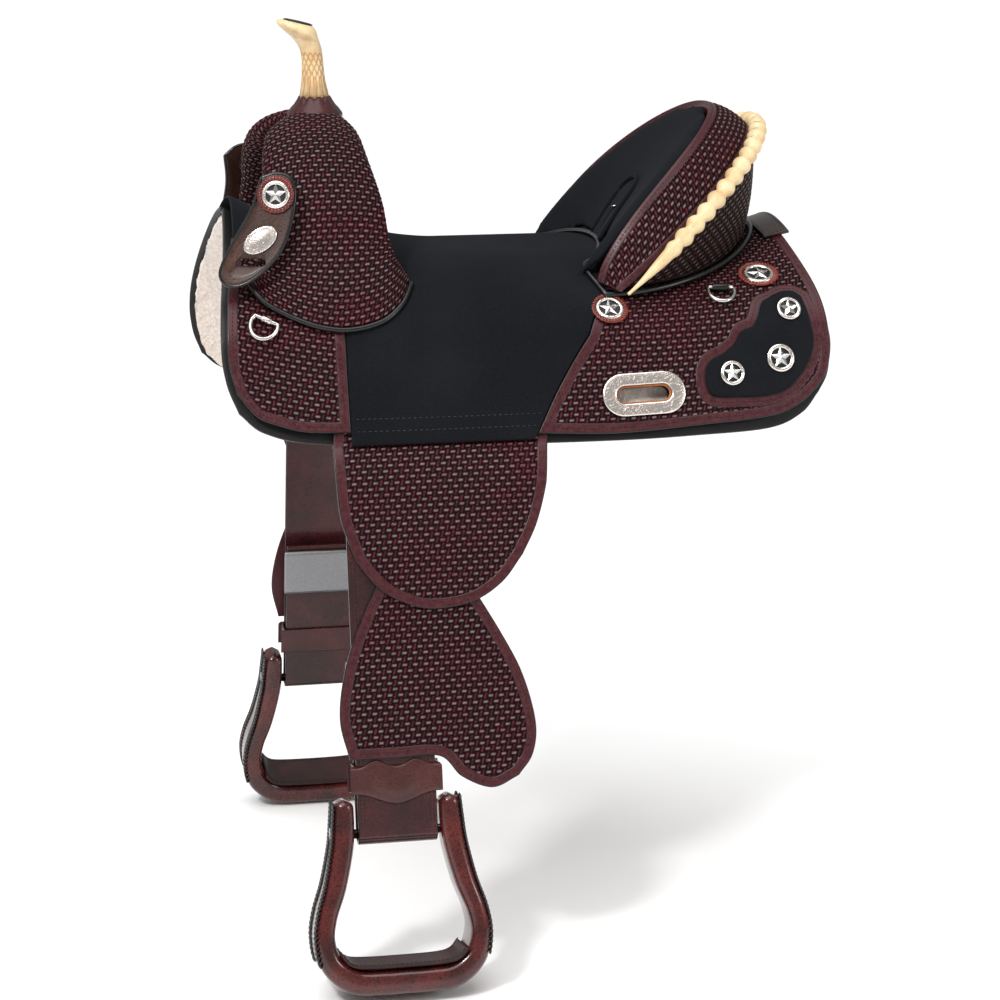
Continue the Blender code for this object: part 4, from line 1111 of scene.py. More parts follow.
def make_rig_plates():
    for side, word in SIDES:
        axes = rig_axes(side, OUTER_T + GAP)
        heights = [(0.0, 0.0), (0.0, 1.7 * MM), (0.04, 2.3 * MM), (0.12, 2.5 * MM),
                   (0.5, 2.7 * MM), (0.88, 2.5 * MM), (0.96, 2.2 * MM), (1.0, 1.5 * MM),
                   (1.0, 0.0)]
        plate = domed_ring(f"rig_plate_silver_{word}", axes, stadium(SLOT_HALF, SLOT_HIGH),
                           stadium(RIG_HALF, RIG_HIGH), heights)
        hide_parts(f"rig_plate_{word}")
        line = stadium(SLOT_HALF - 0.4 * MM, SLOT_HIGH - 0.4 * MM)
        rim = at(rig_axes(side, OUTER_T - 1.2 * MM), line[:, 0], line[:, 1])
        tube(f"slot_edge_{word}", rim, 1.5 * MM, "slot_edge", "root",
             closed=True)


def star(outer, inner):
    angles = math.pi / 2 + np.arange(10) * math.pi / 5
    radii = np.where(np.arange(10) % 2 == 0, outer, inner)
    return np.stack([radii * np.cos(angles), radii * np.sin(angles)], 1)


# shares of a concho's radius
RIM_IN, STAR_OUT, STAR_IN, BACK_OUT = 0.70, 0.78, 0.33, 0.86
BRAID_AT, CORD_AT, CORD_WAVE = 1.14, 1.22, 0.03
BRAID_LONG = 3.4 * MM


def star_facets(name, axes, radius):
    """A star that rises to a ridge along each of its points."""
    points, faces = [at(axes, 0.0, 0.0, 3.6 * MM)], []
    shape = star(STAR_OUT * radius, STAR_IN * radius)
    for level in (1.9 * MM, 0.7 * MM):
        points.extend(at(axes, shape[:, 0], shape[:, 1], level))
    for k in range(10):
        n = (k + 1) % 10
        faces += [(0, 1 + k, 1 + n), (1 + k, 11 + k, 11 + n), (1 + k, 11 + n, 1 + n)]
    faces.append(tuple(range(20, 10, -1)))
    facets = make_piece(name, points, faces, "nickel", "root")
    facets.data.polygons.foreach_set("use_smooth", np.zeros(len(faces), bool))


def braided_rosette(name, axes, radius, circle):
    """A round braid of leather, with a cord outside it, for a disc to sit on."""
    angles = turns(max(20, round(2 * math.pi * radius * 1.18 / BRAID_LONG)))
    centres = at(axes, BRAID_AT * radius * np.cos(angles), BRAID_AT * radius * np.sin(angles),
                 1.3 * MM)
    skew = angles + 0.9
    longs = at(axes, np.cos(skew), np.sin(skew)) - at(axes, 0.0, 0.0)
    beads(f"{name}_braid", centres, longs, np.broadcast_to(axes[2], centres.shape),
          (BRAID_LONG, 1.5 * MM, 1.5 * MM), "rosette", "root")
    wave = CORD_AT + CORD_WAVE * np.sin(22 * circle)
    loop = at(axes, wave * radius * np.cos(circle), wave * radius * np.sin(circle), 0.9 * MM)
    tube(f"{name}_rosette", loop, 1.2 * MM, "rosette", "root", closed=True,
         around=8)


def concho(name, axes, radius, rosette=True):
    """A silver disc with a cut-out star, on a braided rosette."""
    circle = turns(40)
    ring = np.stack([np.cos(circle), np.sin(circle)], 1)
    heights = [(0.0, 0.6 * MM), (0.0, 2.0 * MM), (0.12, 2.7 * MM), (0.5, 3.0 * MM),
               (0.85, 2.5 * MM), (1.0, 1.6 * MM), (1.0, 0.6 * MM)]
    domed_ring(f"{name}_rim", axes, RIM_IN * radius * ring, radius * ring, heights)
    star_facets(f"{name}_star", axes, radius)
    back = [at(axes, f * radius * ring[:, 0], f * radius * ring[:, 1], level)
            for f, level in ((RIM_IN, 0.1 * MM), (BACK_OUT, 0.1 * MM), (BACK_OUT, 0.9 * MM),
                             (RIM_IN, 0.9 * MM))]
    rings_piece(f"{name}_back", back, "skirt", "root")
    if rosette:
        braided_rosette(name, axes, radius, circle)


CONCHOS = [("rear", (0.2387, 0.0227), 15.5 * MM, True),
           ("corner", (0.0773, -0.001), 14.0 * MM, True),
           ("inlay_top", (0.2547, -0.0074), 12.3 * MM, False),
           ("inlay_low", (0.2418, -0.0503), 14.0 * MM, False),
           ("inlay_front", (0.1921, -0.0626), 12.3 * MM, False)]


def make_conchos():
    for side, word in SIDES:
        for label, (x, z), radius, rosette in CONCHOS:
            t = jockey_t(s_at_height(x, z)) + JOCKEY_THICK / 2
            if not rosette:
                t += LOOSE + 2.0 * MM + 1.6 * MM
            concho(f"concho_{label}_{word}", frame_on_skin(x, z, side, t), radius, rosette)


RING_WIRE, RING_HALF, RING_DROP, RING_LIFT = 0.0020, 0.0130, 0.0210, 0.0050
RING_NECK, BAR_SHORT = 0.004, 1.2 * MM  # how far down the bow starts, what the bar leaves off
RING_PLACES = {"front": ((-0.2580, -0.0025), -28.0), "rear": ((0.1925, 0.0105), -5.0)}


def make_rings():
    for place_word, ((x, z), turn) in RING_PLACES.items():
        for side, word in SIDES:
            surface = OUTER_T + jockey_t(s_at_height(x, z)) - JOCKEY_T
            axes = frame_on_skin(x, z, side, surface + RING_LIFT, math.radians(turn))
            angles = np.linspace(0, math.pi, 40)
            bow = np.stack([RING_HALF * np.cos(angles),
                            -RING_NECK - (RING_DROP - RING_NECK) * np.sin(angles)**0.9], 1)
            bar = np.stack([np.linspace(BAR_SHORT - RING_HALF, RING_HALF - BAR_SHORT, 12),
                            np.zeros(12)], 1)
            line = np.concatenate([bar, bow])
            body = f"ring_{place_word}_{word}"
            ring = tube(f"dee_{place_word}_{word}", at(axes, line[:, 0], line[:, 1]), RING_WIRE,
                        "nickel", body, closed=True)
            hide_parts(body)
            make_clip(place_word, word, axes)


def make_clip(place_word, word, axes):
    """The silver sleeve, or black leather one, that holds a ring's bar on the leather."""
    silver = place_word == "front"
    look, half, radius = ("silver", 5 * MM, 3.1) if silver else ("piping", 8.5 * MM, 3.6)
    turn = turns(24)
    rings = []
    for a, size in ((-1.0, 0.72), (-0.97, 0.92), (-0.85, 1.0), (0.85, 1.0), (0.97, 0.92),
                    (1.0, 0.72)):
        rings.append(at(axes, a * half, size * radius * MM * np.cos(turn),
                        size * radius * MM * np.sin(turn)))
    clip = rings_piece(f"clip_{place_word}_{word}", rings, look, "root")
    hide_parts(f"ring_clip_{place_word}_{word}")


# ---------------------------------------------------------------- fork and horn
FORK_STATIONS = [
    (0.000, 0.1730, -0.1890, 0.0270, 0.0130), (0.045, 0.1610, -0.1960, 0.0450, 0.0180),
    (0.082, 0.1380, -0.1980, 0.0520, 0.0210), (0.108, 0.1020, -0.1930, 0.0560, 0.0210),
    (0.124, 0.0620, -0.1930, 0.0620, 0.0170),
]
FORK_HEM = [(-0.2780, 0.0323), (-0.2594, 0.0150), (-0.2342, 0.0035), (-0.2065, -0.0045),
            (-0.1781, -0.0066), (-0.1480, -0.0020), (-0.1270, 0.0075), (-0.1150, 0.0180)]
FORK_AROUND = 200
HEM_FLARE = 0.010  # how far the fork cover's outer wall comes down past its inner one, in s
FORK_LEATHER, FORK_WELT = 2.6 * MM, 2.6 * MM  # the cover's thickness, its welt's radius
PAST_BORDER = 20 * MM  # far enough from an edge that the stamping runs right to the hem
FORK_CENTRE_Z = 0.03  # the height that the fork's section leans out from
WELT_DOWN, WELT_OUT = 0.015, 0.0040  # past the hem in share, and off the leather under it


def rounded_cross(half, thick):
    c, n = np.cos(turns(FORK_AROUND)), np.sin(turns(FORK_AROUND))
    return half * np.sign(c) * np.abs(c)**0.85, thick * np.sign(n) * np.abs(n)**0.85


def fork_ring(station, side):
    y, z, x, half, thick = station
    rise = math.atan2(z - FORK_CENTRE_Z, y + 1e-6)
    out = np.array([0.0, side * math.cos(rise), math.sin(rise)])
    along, off = rounded_cross(half, thick)
    return np.array([x, side * y, z]) + along[:, None] * X_AXIS + off[:, None] * out


def fork_hem_ring(side):
    path = even(FORK_HEM, 60)
    middle, half = (path[0, 0] + path[-1, 0]) / 2, (path[-1, 0] - path[0, 0]) / 2
    along, off = rounded_cross(half, 1.0)
    ring = []
    for a, b in zip(along, off):
        x = middle + a
        s = s_at_height(x, float(np.interp(x, path[:, 0], path[:, 1]))) + HEM_FLARE * b
        ring.append(drape(x, side * s, top_t(s) + GAP + 1.6 * MM + 1.4 * MM * b))
    return np.array(ring)


def fork_chart(outer):
    """Lengths round and along the fork's outer points, measured from its front crest."""
    crest = FORK_AROUND // 4
    arch = travelled(outer[:, crest])
    v = np.broadcast_to(arch[:, None], outer.shape[:2])
    steps = np.linalg.norm(np.diff(np.concatenate([outer, outer[:, :1]], 1), axis=1), axis=2)
    run = np.concatenate([np.zeros((len(outer), 1)), np.cumsum(steps, 1)], 1)
    u = run[:, :-1] - run[:, crest:crest + 1]
    rear_side = (np.arange(FORK_AROUND) > 3 * FORK_AROUND // 4)[None]
    u = np.where(rear_side, u - run[:, -1:], u)
    return u, v, np.minimum(v, arch[-1] - v)


def make_fork():
    rings = [fork_hem_ring(NEAR)]
    rings += [fork_ring(station, NEAR) for station in reversed(FORK_STATIONS)]
    rings += [fork_ring(station, OFF) for station in FORK_STATIONS[1:]] + [fork_hem_ring(OFF)]
    flat = np.array(rings).reshape(len(rings), -1)
    outer = even(flat, 300).reshape(300, FORK_AROUND, 3)
    u, v, hem = fork_chart(outer)
    normals = grid_normals(outer, True)
    normals *= np.sign(np.sum(normals * (outer - outer.mean(1, keepdims=True)), -1, keepdims=True))
    sunk = STAMP_DEPTH * (1 - weave(u, v))
    piece = shell("fork_leather", outer - normals * sunk[..., None],
                  outer - normals * FORK_LEATHER, "basket", "root", np.stack([u, v], -1),
                  hem + PAST_BORDER, wrap=True)
    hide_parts("fork_cover")
    for side, word in SIDES:
        route = []
        for x, z in even(FORK_HEM, 90):
            s = s_at_height(x, z) + WELT_DOWN
            route.append(drape(x, side * s, float(top_t(s)) + WELT_OUT))
        cord = tube(f"fork_welt_{word}", route, FORK_WELT, "piping", "root")
        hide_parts(f"fork_piping_{word}")


HORN_X, HORN_TOP, HORN_TILT = -0.1868, np.array([-0.2022, 0.0, 0.2696]), 13.0
HORN_AROUND = 72
LACE_TURNS, LACE_PITCH, LACE_SUNK = 12, 0.0105, 0.9 * MM  # the crossed lace round the neck
LACE_END = (0.044, 0.050)  # where the lace stops, up along the horn
HORN_LINE = [(-0.1868, 0.1935, 0.0155, 0.0), (-0.1870, 0.2010, 0.0138, 0.0),
             (-0.1878, 0.2150, 0.0116, 0.0), (-0.1886, 0.2340, 0.0106, 2.0),
             (-0.1904, 0.2440, 0.0114, 6.0), (-0.1944, 0.2515, 0.0140, 12.0),
             (-0.1990, 0.2570, 0.0178, 15.0), (-0.2022, 0.2610, 0.0200, 16.0),
             (-0.2036, 0.2645, 0.0203, 15.0), (-0.2040, 0.2672, 0.0190, 14.0),
             (-0.2038, 0.2690, 0.0160, 13.0), (-0.2034, 0.2698, 0.0120, 12.0)]


def horn_ring(x, z, radius, pitch, count=HORN_AROUND):
    angles, pitch = turns(count), math.radians(pitch)
    return np.stack([x + radius * np.cos(angles) * math.cos(pitch), radius * np.sin(angles),
                     z - radius * np.cos(angles) * math.sin(pitch)], 1)


def make_horn():
    line = even(HORN_LINE, 110)
    rings, edges = [], []
    share = LACE_TURNS * turns(HORN_AROUND) / (2 * math.pi)
    for (x, z, radius, pitch), height in zip(line, travelled(line[:, :2])):
        ring = horn_ring(x, z, radius, pitch)
        wrapped = 1 - ease(height, *LACE_END)
        a, b = (share + height / LACE_PITCH) % 1.0, (share - height / LACE_PITCH) % 1.0
        gap = np.minimum(np.minimum(a, 1 - a), np.minimum(b, 1 - b))
        sink = LACE_SUNK * (1 - ease(gap, 0.03, 0.20)) * wrapped
        rings.append(ring - unit(ring - ring.mean(axis=0)) * sink[:, None])
        edges.append(np.where(wrapped > 0.5, gap * 3.0 * MM, 5 * MM))
    horn = rings_piece("horn_rawhide", rings, "rawhide", "root",
                       edge=np.array(edges))
    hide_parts("horn_wrap", "horn_cap")
    tilt = math.radians(HORN_TILT)
    lift = np.array([math.sin(tilt), 0.0, math.cos(tilt)])
    disc = []
    for radius, rise in ((0.0130, -0.9), (0.0148, -0.3), (0.0146, 0.5), (0.0120, 1.1),
                         (0.0050, 1.4)):
        x, _, z = HORN_TOP + lift * rise * MM
        disc.append(horn_ring(x, z, radius, HORN_TILT, 48))
    rings_piece("horn_top_leather", disc, "skirt", "root")
    make_collar()


def make_collar():
    """The scalloped leather that runs up from the fork's top against the horn's foot."""
    angles = turns(160)
    scallop = np.abs(np.sin(5.5 * angles))
    rings = []
    for radius, z, wave in ((0.0150, 0.1850, 0.0), (0.0150, 0.1945, 3.0), (0.0168, 0.1950, 3.0),
                            (0.0190, 0.1930, 1.2), (0.0222, 0.1895, 0.0), (0.0258, 0.1860, 0.0),
                            (0.0296, 0.1812, 0.0), (0.0300, 0.1780, 0.0), (0.0240, 0.1760, 0.0)):
        long, wide = 0.92 * radius, 1.04 * radius
        rings.append(np.stack([HORN_X + long * np.cos(angles), wide * np.sin(angles),
                               z + wave * MM * scallop], 1))
    rings.append(rings[0])
    collar = rings_piece("horn_collar_leather", rings, "burgundy", "root",
                         caps=False)
    weld(collar)
    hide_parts("horn_collar")


# ---------------------------------------------------------------- cantle
# the cantle's lines: where each stands at the tips, and how much further at the top
FOOT_X, FOOT_BACK, RIM_X, RIM_BACK = 0.046, 0.051, 0.068, 0.142
EDGE_X, EDGE_BACK, BACK_X, BACK_BACK = 0.090, 0.167, 0.078, 0.172
RIM_Z, RIM_UP, EDGE_Z, EDGE_UP = 0.026, 0.160, 0.016, 0.144


def cantle_profile(angle):
    """The cantle's section at an angle round its arch: face foot, rim, roll edge, back foot."""
    c, n = max(0.0, math.cos(angle)), math.sin(angle)
    foot_x, foot_y = FOOT_X + FOOT_BACK * c, FACE_HALF * n
    foot_t = SEAT_CROWN_T + JOCKEY_THICK / 2 - 0.012 * (1 - c)
    foot = np.array([foot_x, foot_y, skin_height(foot_x, foot_y, foot_t) + 0.0030])
    rim = np.array([RIM_X + RIM_BACK * c**0.9, CANTLE_HALF * n, RIM_Z + RIM_UP * c**0.62])
    edge = np.array([EDGE_X + EDGE_BACK * c, ROLL_HALF * n, EDGE_Z + EDGE_UP * c])
    back_x, back_y = BACK_X + BACK_BACK * c, BACK_HALF * n
    back_t = JOCKEY_OVER_BAR_T + JOCKEY_THICK / 2 + 0.003 * (1 - c)
    return foot, rim, edge, np.array([back_x, back_y, skin_height(back_x, back_y, back_t)
                                      + 0.0025])


BULGE, ROLL_BULGE = 0.05, 0.10  # how far the cantle's covers stand out, in their widths
COVER_SKIN = 0.22  # how far in a cover reaches, towards the cantle's middle
COVER_STITCH_IN = 0.8 * STITCH_IN
CUSHION_GRID, CUSHION_PUFF = 4.5 * MM, 1.6 * MM
FACE_BULGE = 0.20  # how far the points drawn on the cushion's face stand out
CANTLE_ANGLES = np.linspace(-math.pi / 2, math.pi / 2, 260)
CANTLE_CORNERS = np.array([cantle_profile(a) for a in CANTLE_ANGLES])
CANTLE_MIDDLES = CANTLE_CORNERS.mean(axis=1)


def cantle_band(first, last, columns, bulge_share):
    """Outer points of one cover: rows round the arch, columns from corner to corner."""
    a, b = CANTLE_CORNERS[:, first], CANTLE_CORNERS[:, last]
    along = unit(b - a)
    out = unit((a + b) / 2 - CANTLE_MIDDLES)
    far = np.linalg.norm(b - a, axis=1)[:, None]
    rows = []
    for u in columns:
        rows.append(a + along * GAP + (b - a - 2 * GAP * along) * u
                    + out * bulge_share * far * 4 * u * (1 - u))
    return np.stack(rows, 1)


def cover_stitches(name, top, normals, across):
    """Two rows of thread along a cover of the cantle, where it is wide enough."""
    rows = []
    wide = [i for i in range(0, len(top), 2) if across[i, -1] >= 3 * STITCH_IN]
    for lower in (True, False):
        line, outs = [], []
        for i in wide:
            far = COVER_STITCH_IN if lower else across[i, -1] - COVER_STITCH_IN
            line.append(sample(top[i], across[i], far))
            outs.append(sample(normals[i], across[i], far))
        rows.append((np.array(line), unit(outs)))
    stitches(f"stitches_{name}", rows, "thread", "root")


def cantle_cover(name, node, first, last, look, border, bulge_share=BULGE):
    """A leather cover of the cantle with stamping between plain stitched borders."""
    widest = np.linalg.norm(CANTLE_CORNERS[:, first] - CANTLE_CORNERS[:, last], axis=1).max()
    columns = shares_for(widest, GRID)
    where = travelled(cantle_band(first, last, [0.5], bulge_share)[:, 0])
    even_rows = np.linspace(0, where[-1], round(where[-1] / GRID))
    outer = cantle_band(first, last, columns, bulge_share).reshape(len(where), -1)
    outer = sample(outer, where, even_rows).reshape(len(even_rows), len(columns), 3)
    across = np.cumsum(np.linalg.norm(np.diff(outer, axis=1, prepend=outer[:, :1]), axis=2), 1)
    edge = np.minimum(across, across[:, -1:] - across)
    normals = grid_normals(outer)
    middles = sample(CANTLE_MIDDLES, where, even_rows)
    normals *= np.sign(np.sum(normals * (outer - middles[:, None]), -1, keepdims=True))
    v = across - across[:, -1:] / 2
    u = np.broadcast_to(even_rows[:, None], v.shape)
    sunk = rounding(edge) + STAMP_DEPTH * (1 - weave(u, v)) * ease(edge, border, border + MM)
    top = outer - normals * sunk[..., None]
    inner = outer + (middles[:, None] - outer) * COVER_SKIN
    piece = shell(name, top, inner, look, "root", np.stack([u, v], -1), edge + BORDER - border)
    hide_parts(node)
    cover_stitches(name, top, normals, across)


def cushion_face():
    """The padded suede face, with its foot on the seat and its rim under the roll."""
    outer = cantle_band(0, 1, np.linspace(0, 1, 40), BULGE)[4:-4:3]
    middles = CANTLE_MIDDLES[4:-4:3]
    inner = outer + (middles[:, None] - outer) * CANTLE_SKIN
    cushion = shell("cantle_suede", outer, inner, "suede", "root")
    remesh = cushion.modifiers.new("even", "REMESH")
    remesh.mode, remesh.voxel_size = "VOXEL", CUSHION_GRID
    settle(cushion)
    inflate(cushion, CUSHION_PUFF)
    cushion.data.materials.clear()
    cushion.data.materials.append(LOOKS["suede"])
    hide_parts("cantle_cushion")


def inflate(piece, most):
    """Blows a closed fabric cover up a little, as stuffing does, with a short cloth run."""
    rest = np.array([v.co[:] for v in piece.data.vertices])
    cloth = piece.modifiers.new("stuffing", "CLOTH")
    cloth.settings.quality = 6
    cloth.settings.use_pressure = True
    cloth.settings.uniform_pressure_force = 4.0
    cloth.settings.tension_stiffness = cloth.settings.compression_stiffness = 25.0
    cloth.settings.effector_weights.gravity = 0.0
    cloth.collision_settings.use_collision = False
    scene = bpy.context.scene
    for step in range(1, 21):
        scene.frame_set(step)
    settle(piece)
    scene.frame_set(1)
    blown = np.array([v.co[:] for v in piece.data.vertices])
    moved = blown - rest
    far = np.linalg.norm(moved, axis=1, keepdims=True)
    blown = rest + moved * np.minimum(1.0, most / np.maximum(far, 1e-9))
    piece.data.vertices.foreach_set("co", blown.ravel())
    piece.data.update()
    even_out = piece.modifiers.new("even_out", "SMOOTH")
    even_out.factor, even_out.iterations = 0.5, 8
    finer = piece.modifiers.new("finer", "SUBSURF")
    finer.levels = finer.render_levels = 1
    settle(piece)
    piece.data.polygons.foreach_set("use_smooth", np.ones(len(piece.data.polygons), bool))


def on_face(angle, share, lift=0.0):
    """Points on the cantle's face: angle round the arch, share of the way up to the rim."""
    angle, share = np.broadcast_arrays(np.asarray(angle, float), np.asarray(share, float))
    a, b, m = (sample(table, CANTLE_ANGLES, angle)
               for table in (CANTLE_CORNERS[:, 0], CANTLE_CORNERS[:, 1], CANTLE_MIDDLES))
    out = unit((a + b) / 2 - m)
    far = np.linalg.norm(b - a, axis=-1, keepdims=True)
    share = share[..., None]
    return a + (b - a) * share + out * (FACE_BULGE * far * share * (1 - share) + lift), out


HOLE_NEAR, HOLE_FAR = -0.42, 0.02  # the hand hole's sides, as angles
HOLE_FOOT, HOLE_TOP, HOLE_ARCH = 0.03, 0.46, 0.12  # its foot, top and arch, as shares


def make_cushion_details():
    """The hand hole in the face's foot: a raised rim, a dark recess and a rivet."""
    middle, half = (HOLE_NEAR + HOLE_FAR) / 2, (HOLE_FAR - HOLE_NEAR) / 2
    turn = np.linspace(0, math.pi, 40)
    rise = np.linspace(HOLE_FOOT, HOLE_TOP - HOLE_ARCH, 12)
    angle = np.concatenate([[HOLE_FAR] * 12, middle + half * np.cos(turn), [HOLE_NEAR] * 12])
    share = np.concatenate([rise, rise[-1] + HOLE_ARCH * np.sin(turn), rise[::-1]])
    rim, _ = on_face(angle, share, 3.2 * MM)
    tube("hand_hole_rim", rim, 2.7 * MM, "suede", "root")
    inside = [on_face(middle + (angle - middle) * f, HOLE_FOOT + (share - HOLE_FOOT) * f,
                      lift * MM)[0]
              for f, lift in ((0.94, 2.0), (0.90, 3.0), (0.55, 2.9), (0.05, 2.8))]
    rings_piece("hand_hole", inside, "suede", "root")
    centre, out = on_face(middle, 0.24, 3.6 * MM)
    beads("hand_hole_rivet", centre[None], X_AXIS[None], out[None],
          (3.2 * MM, 3.2 * MM, 1.5 * MM), "nickel", "root", 16, 8)


LACE_COUNT, PLAIN_LOBES = 34, 3  # lobes round the binding, those left plain at each tip
BAND_RADIUS, BAND_LEAN = 6.3 * MM, 2.0 * MM


def make_binding():
    """The laced rawhide over the cantle's edge: a core, scalloped lobes and pale lacing."""
    out = unit(CANTLE_CORNERS[:, 2] - CANTLE_MIDDLES)
    path = CANTLE_CORNERS[:, 2] + out * 6.5 * MM
    where = travelled(path)
    pitch = where[-1] / LACE_COUNT
    lobe = np.abs(np.sin(math.pi * where / pitch))
    from_tip = np.minimum(where, where[-1] - where)
    ends = ease(from_tip, 0.0, 60 * MM)
    laced = ease(from_tip, PLAIN_LOBES * pitch, (PLAIN_LOBES + 1) * pitch)
    radius = (1.6 + 3.4 * ends + 1.2 * ends * (1 - laced) + 4.4 * lobe * laced) * MM
    binding = tube("cantle_rawhide", path, radius, "rawhide", "root", around=24,
                   ups=out)
    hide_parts("cantle_binding")
    run = unit(np.gradient(path, axis=0))
    turn = turns(28)[:, None]
    bands = []
    for k in range(PLAIN_LOBES + 1, LACE_COUNT - PLAIN_LOBES):
        centre, axis, up = (sample(table, where, k * pitch) for table in (path, run, out))
        axis, up = unit(axis), unit(up)
        circle = BAND_RADIUS * (np.cos(turn) * np.cross(axis, up) + np.sin(turn) * up)
        for shift in (-1.2, 0.0, 1.2):
            bands.append((centre + axis * (shift * MM + BAND_LEAN * np.sin(turn)) + circle, axis))
    wires("cantle_lacing", bands, 0.80 * MM, "lace", "root")


def wires(name, loops, radius, look, body, around=6):
    """Many closed cords in one piece; each is its loop of points and the axis it circles."""
    points, faces = [], []
    angle = turns(around)[None, :, None]
    for loop, axis in loops:
        out = unit(loop - loop.mean(axis=0))[:, None]
        rings = loop[:, None] + radius * (np.cos(angle) * out + 1.5 * np.sin(angle) * axis)
        first, last = len(points), len(points) + (len(loop) - 1) * around
        faces.extend(tuple(q) for q in grid_quads(len(loop), around, first, wrap=True))
        for j in range(around):
            k = (j + 1) % around
            faces.append((last + j, last + k, first + k, first + j))
        points.extend(rings.reshape(-1, 3))
    return make_piece(name, points, faces, look, body)


def make_cantle():
    cushion_face()
    cantle_cover("roll_leather", "cantle_roll", 1, 2, "basket", 8.0 * MM, ROLL_BULGE)
    cantle_cover("back_leather", "cantle_back", 2, 3, "basket_dark", 3.0 * MM)
    make_cushion_details()
    make_binding()
    make_cantle_welt()


WELT_LONG, WELT_WIDE, WELT_START = 0.1815, 0.1435, 0.076  # the welt's arch behind the cantle
WELT_RADIUS, WELT_UP = 2.8 * MM, 5.7 * MM


def make_cantle_welt():
    """One black welt round the cantle's foot: behind it, round its tips and along its face."""
    route = []
    for angle in np.linspace(-math.pi / 2, math.pi / 2, 90):
        c, n = max(0.0, math.cos(angle)), math.sin(angle)
        x, y = WELT_START + WELT_LONG * c, WELT_WIDE * n
        height = skin_height(x, y, JOCKEY_OVER_BAR_T + JOCKEY_THICK / 2)
        route.append((x, y, height + WELT_UP + 0.4 * MM * (1 - c)))
    front = []
    for angle in np.linspace(math.pi / 2, -math.pi / 2, 70)[4:-4]:
        x, y, z = on_face(angle, 0.015, 0.5 * MM)[0]
        front.append((x - 2.0 * MM, y * 1.03, z))
    loop = smooth_curve(route[::3] + front[3:-3:6] + route[:1], 6)[:-1]
    welt = tube("cantle_welt", loop, WELT_RADIUS, "piping", "root",
                closed=True)
    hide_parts("cantle_piping")


# ---------------------------------------------------------------- latigo keepers
KEEPER_SHAPE = [(-0.014, 0.017), (0.0, 0.021), (0.013, 0.017), (0.018, 0.004), (0.016, -0.020),
                (0.008, -0.048), (-0.006, -0.068), (-0.026, -0.084), (-0.044, -0.087),
                (-0.052, -0.074), (-0.040, -0.046), (-0.022, -0.012)]
KEEPER_SLOT, KEEPER_SLOT_HALF, KEEPER_SLOT_HIGH = (-0.0225, -0.0640), 0.0140, 0.0036
KEEPER_PLACE, KEEPER_OUT = (-0.2440, 0.1400, 0.1170), (-0.25, 0.93, 0.25)
KEEPER_TURN = {NEAR: 0.0, OFF: math.radians(24.0)}
KEEPER_EDGE = [(0.0, -1.9), (0.6, -1.9), (0.97, -1.9), (1.0, -1.2), (1.0, 1.0), (0.965, 1.7),
               (0.90, 1.4), (0.86, 1.1), (0.6, 1.1), (0.01, 1.1)]  # share outward, height in mm
SPACER_RADIUS, SPACER_END = 0.006, -0.0202
OVAL_PLACE, OVAL_HALF, OVAL_TURN = (-0.0140, -0.0430), (18.0 * MM, 11.0 * MM), 35.0
OVAL_DOME = [(0.0, 0.2), (1.0, 0.0), (1.0, 1.0), (0.90, 1.9), (0.82, 1.7), (0.55, 2.4),
             (0.01, 2.9)]  # share outward, height in mm


def keeper_axes(side):
    mirror = np.array([1.0, side, 1.0])
    out = unit(mirror * KEEPER_OUT)
    up = unit(np.array([0.0, 0.0, 1.0]) - out[2] * out)
    rear = np.cross(up, out) * -side
    return turned((rear, up, out, mirror * KEEPER_PLACE), KEEPER_TURN[side])


def make_keepers():
    for side, word in SIDES:
        axes = keeper_axes(side)
        closed = smooth_curve(KEEPER_SHAPE + KEEPER_SHAPE[:1], 10)[:-1]
        make_keeper(word, axes, closed)
        turn = turns(40)
        post = [at(axes, SPACER_RADIUS * np.cos(turn), SPACER_RADIUS * np.sin(turn), level)
                for level in (SPACER_END, -1.5 * MM)]
        rings_piece(f"keeper_spacer_{word}", post, "keeper", "root")
        middle = closed.mean(axis=0)
        tube(f"keeper_edge_{word}", at(axes, *(middle + (closed - middle) * 0.985).T, 0.2 * MM),
             1.9 * MM, "piping", "root", closed=True)
        concho(f"keeper_star_{word}", moved(axes, 1.8 * MM * axes[2]), 13.5 * MM)
        make_oval(word, axes)


def make_keeper(word, axes, closed):
    """The keeper's leather, thick, with a raised rim and a slot for the latigo's end."""
    middle = closed.mean(axis=0)
    rings = [at(axes, *(middle + (closed - middle) * max(share, 0.01)).T, level * MM)
             for share, level in KEEPER_EDGE]
    far = np.linalg.norm(closed - middle, axis=1).mean()
    edge = np.array([np.full(len(closed), (1 - share) * far * 1.3) for share, _ in KEEPER_EDGE])
    keeper = rings_piece(f"keeper_leather_{word}", rings, "keeper", "root",
                         edge=edge)
    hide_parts(f"latigo_keeper_{word}")
    slot = stadium(KEEPER_SLOT_HALF, KEEPER_SLOT_HIGH) + np.array(KEEPER_SLOT)
    cut_hole(keeper, [at(axes, slot[:, 0], slot[:, 1], level) for level in (-5 * MM, 5 * MM)])


def make_oval(word, axes):
    """The engraved silver oval on a keeper."""
    tilted = turned((*axes[:3], at(axes, *OVAL_PLACE, 1.8 * MM)), math.radians(OVAL_TURN))
    circle = turns(40)
    shape = np.stack([OVAL_HALF[0] * np.cos(circle), OVAL_HALF[1] * np.sin(circle)], 1)
    levels = [at(tilted, *(shape * max(f, 0.01)).T, h * MM) for f, h in OVAL_DOME]
    edges = np.array([np.full(len(circle), (1 - f) * 14 * MM + 1.0 * MM) for f, _ in OVAL_DOME])
    rings_piece(f"keeper_oval_{word}", levels, "silver", "root", edge=edges)


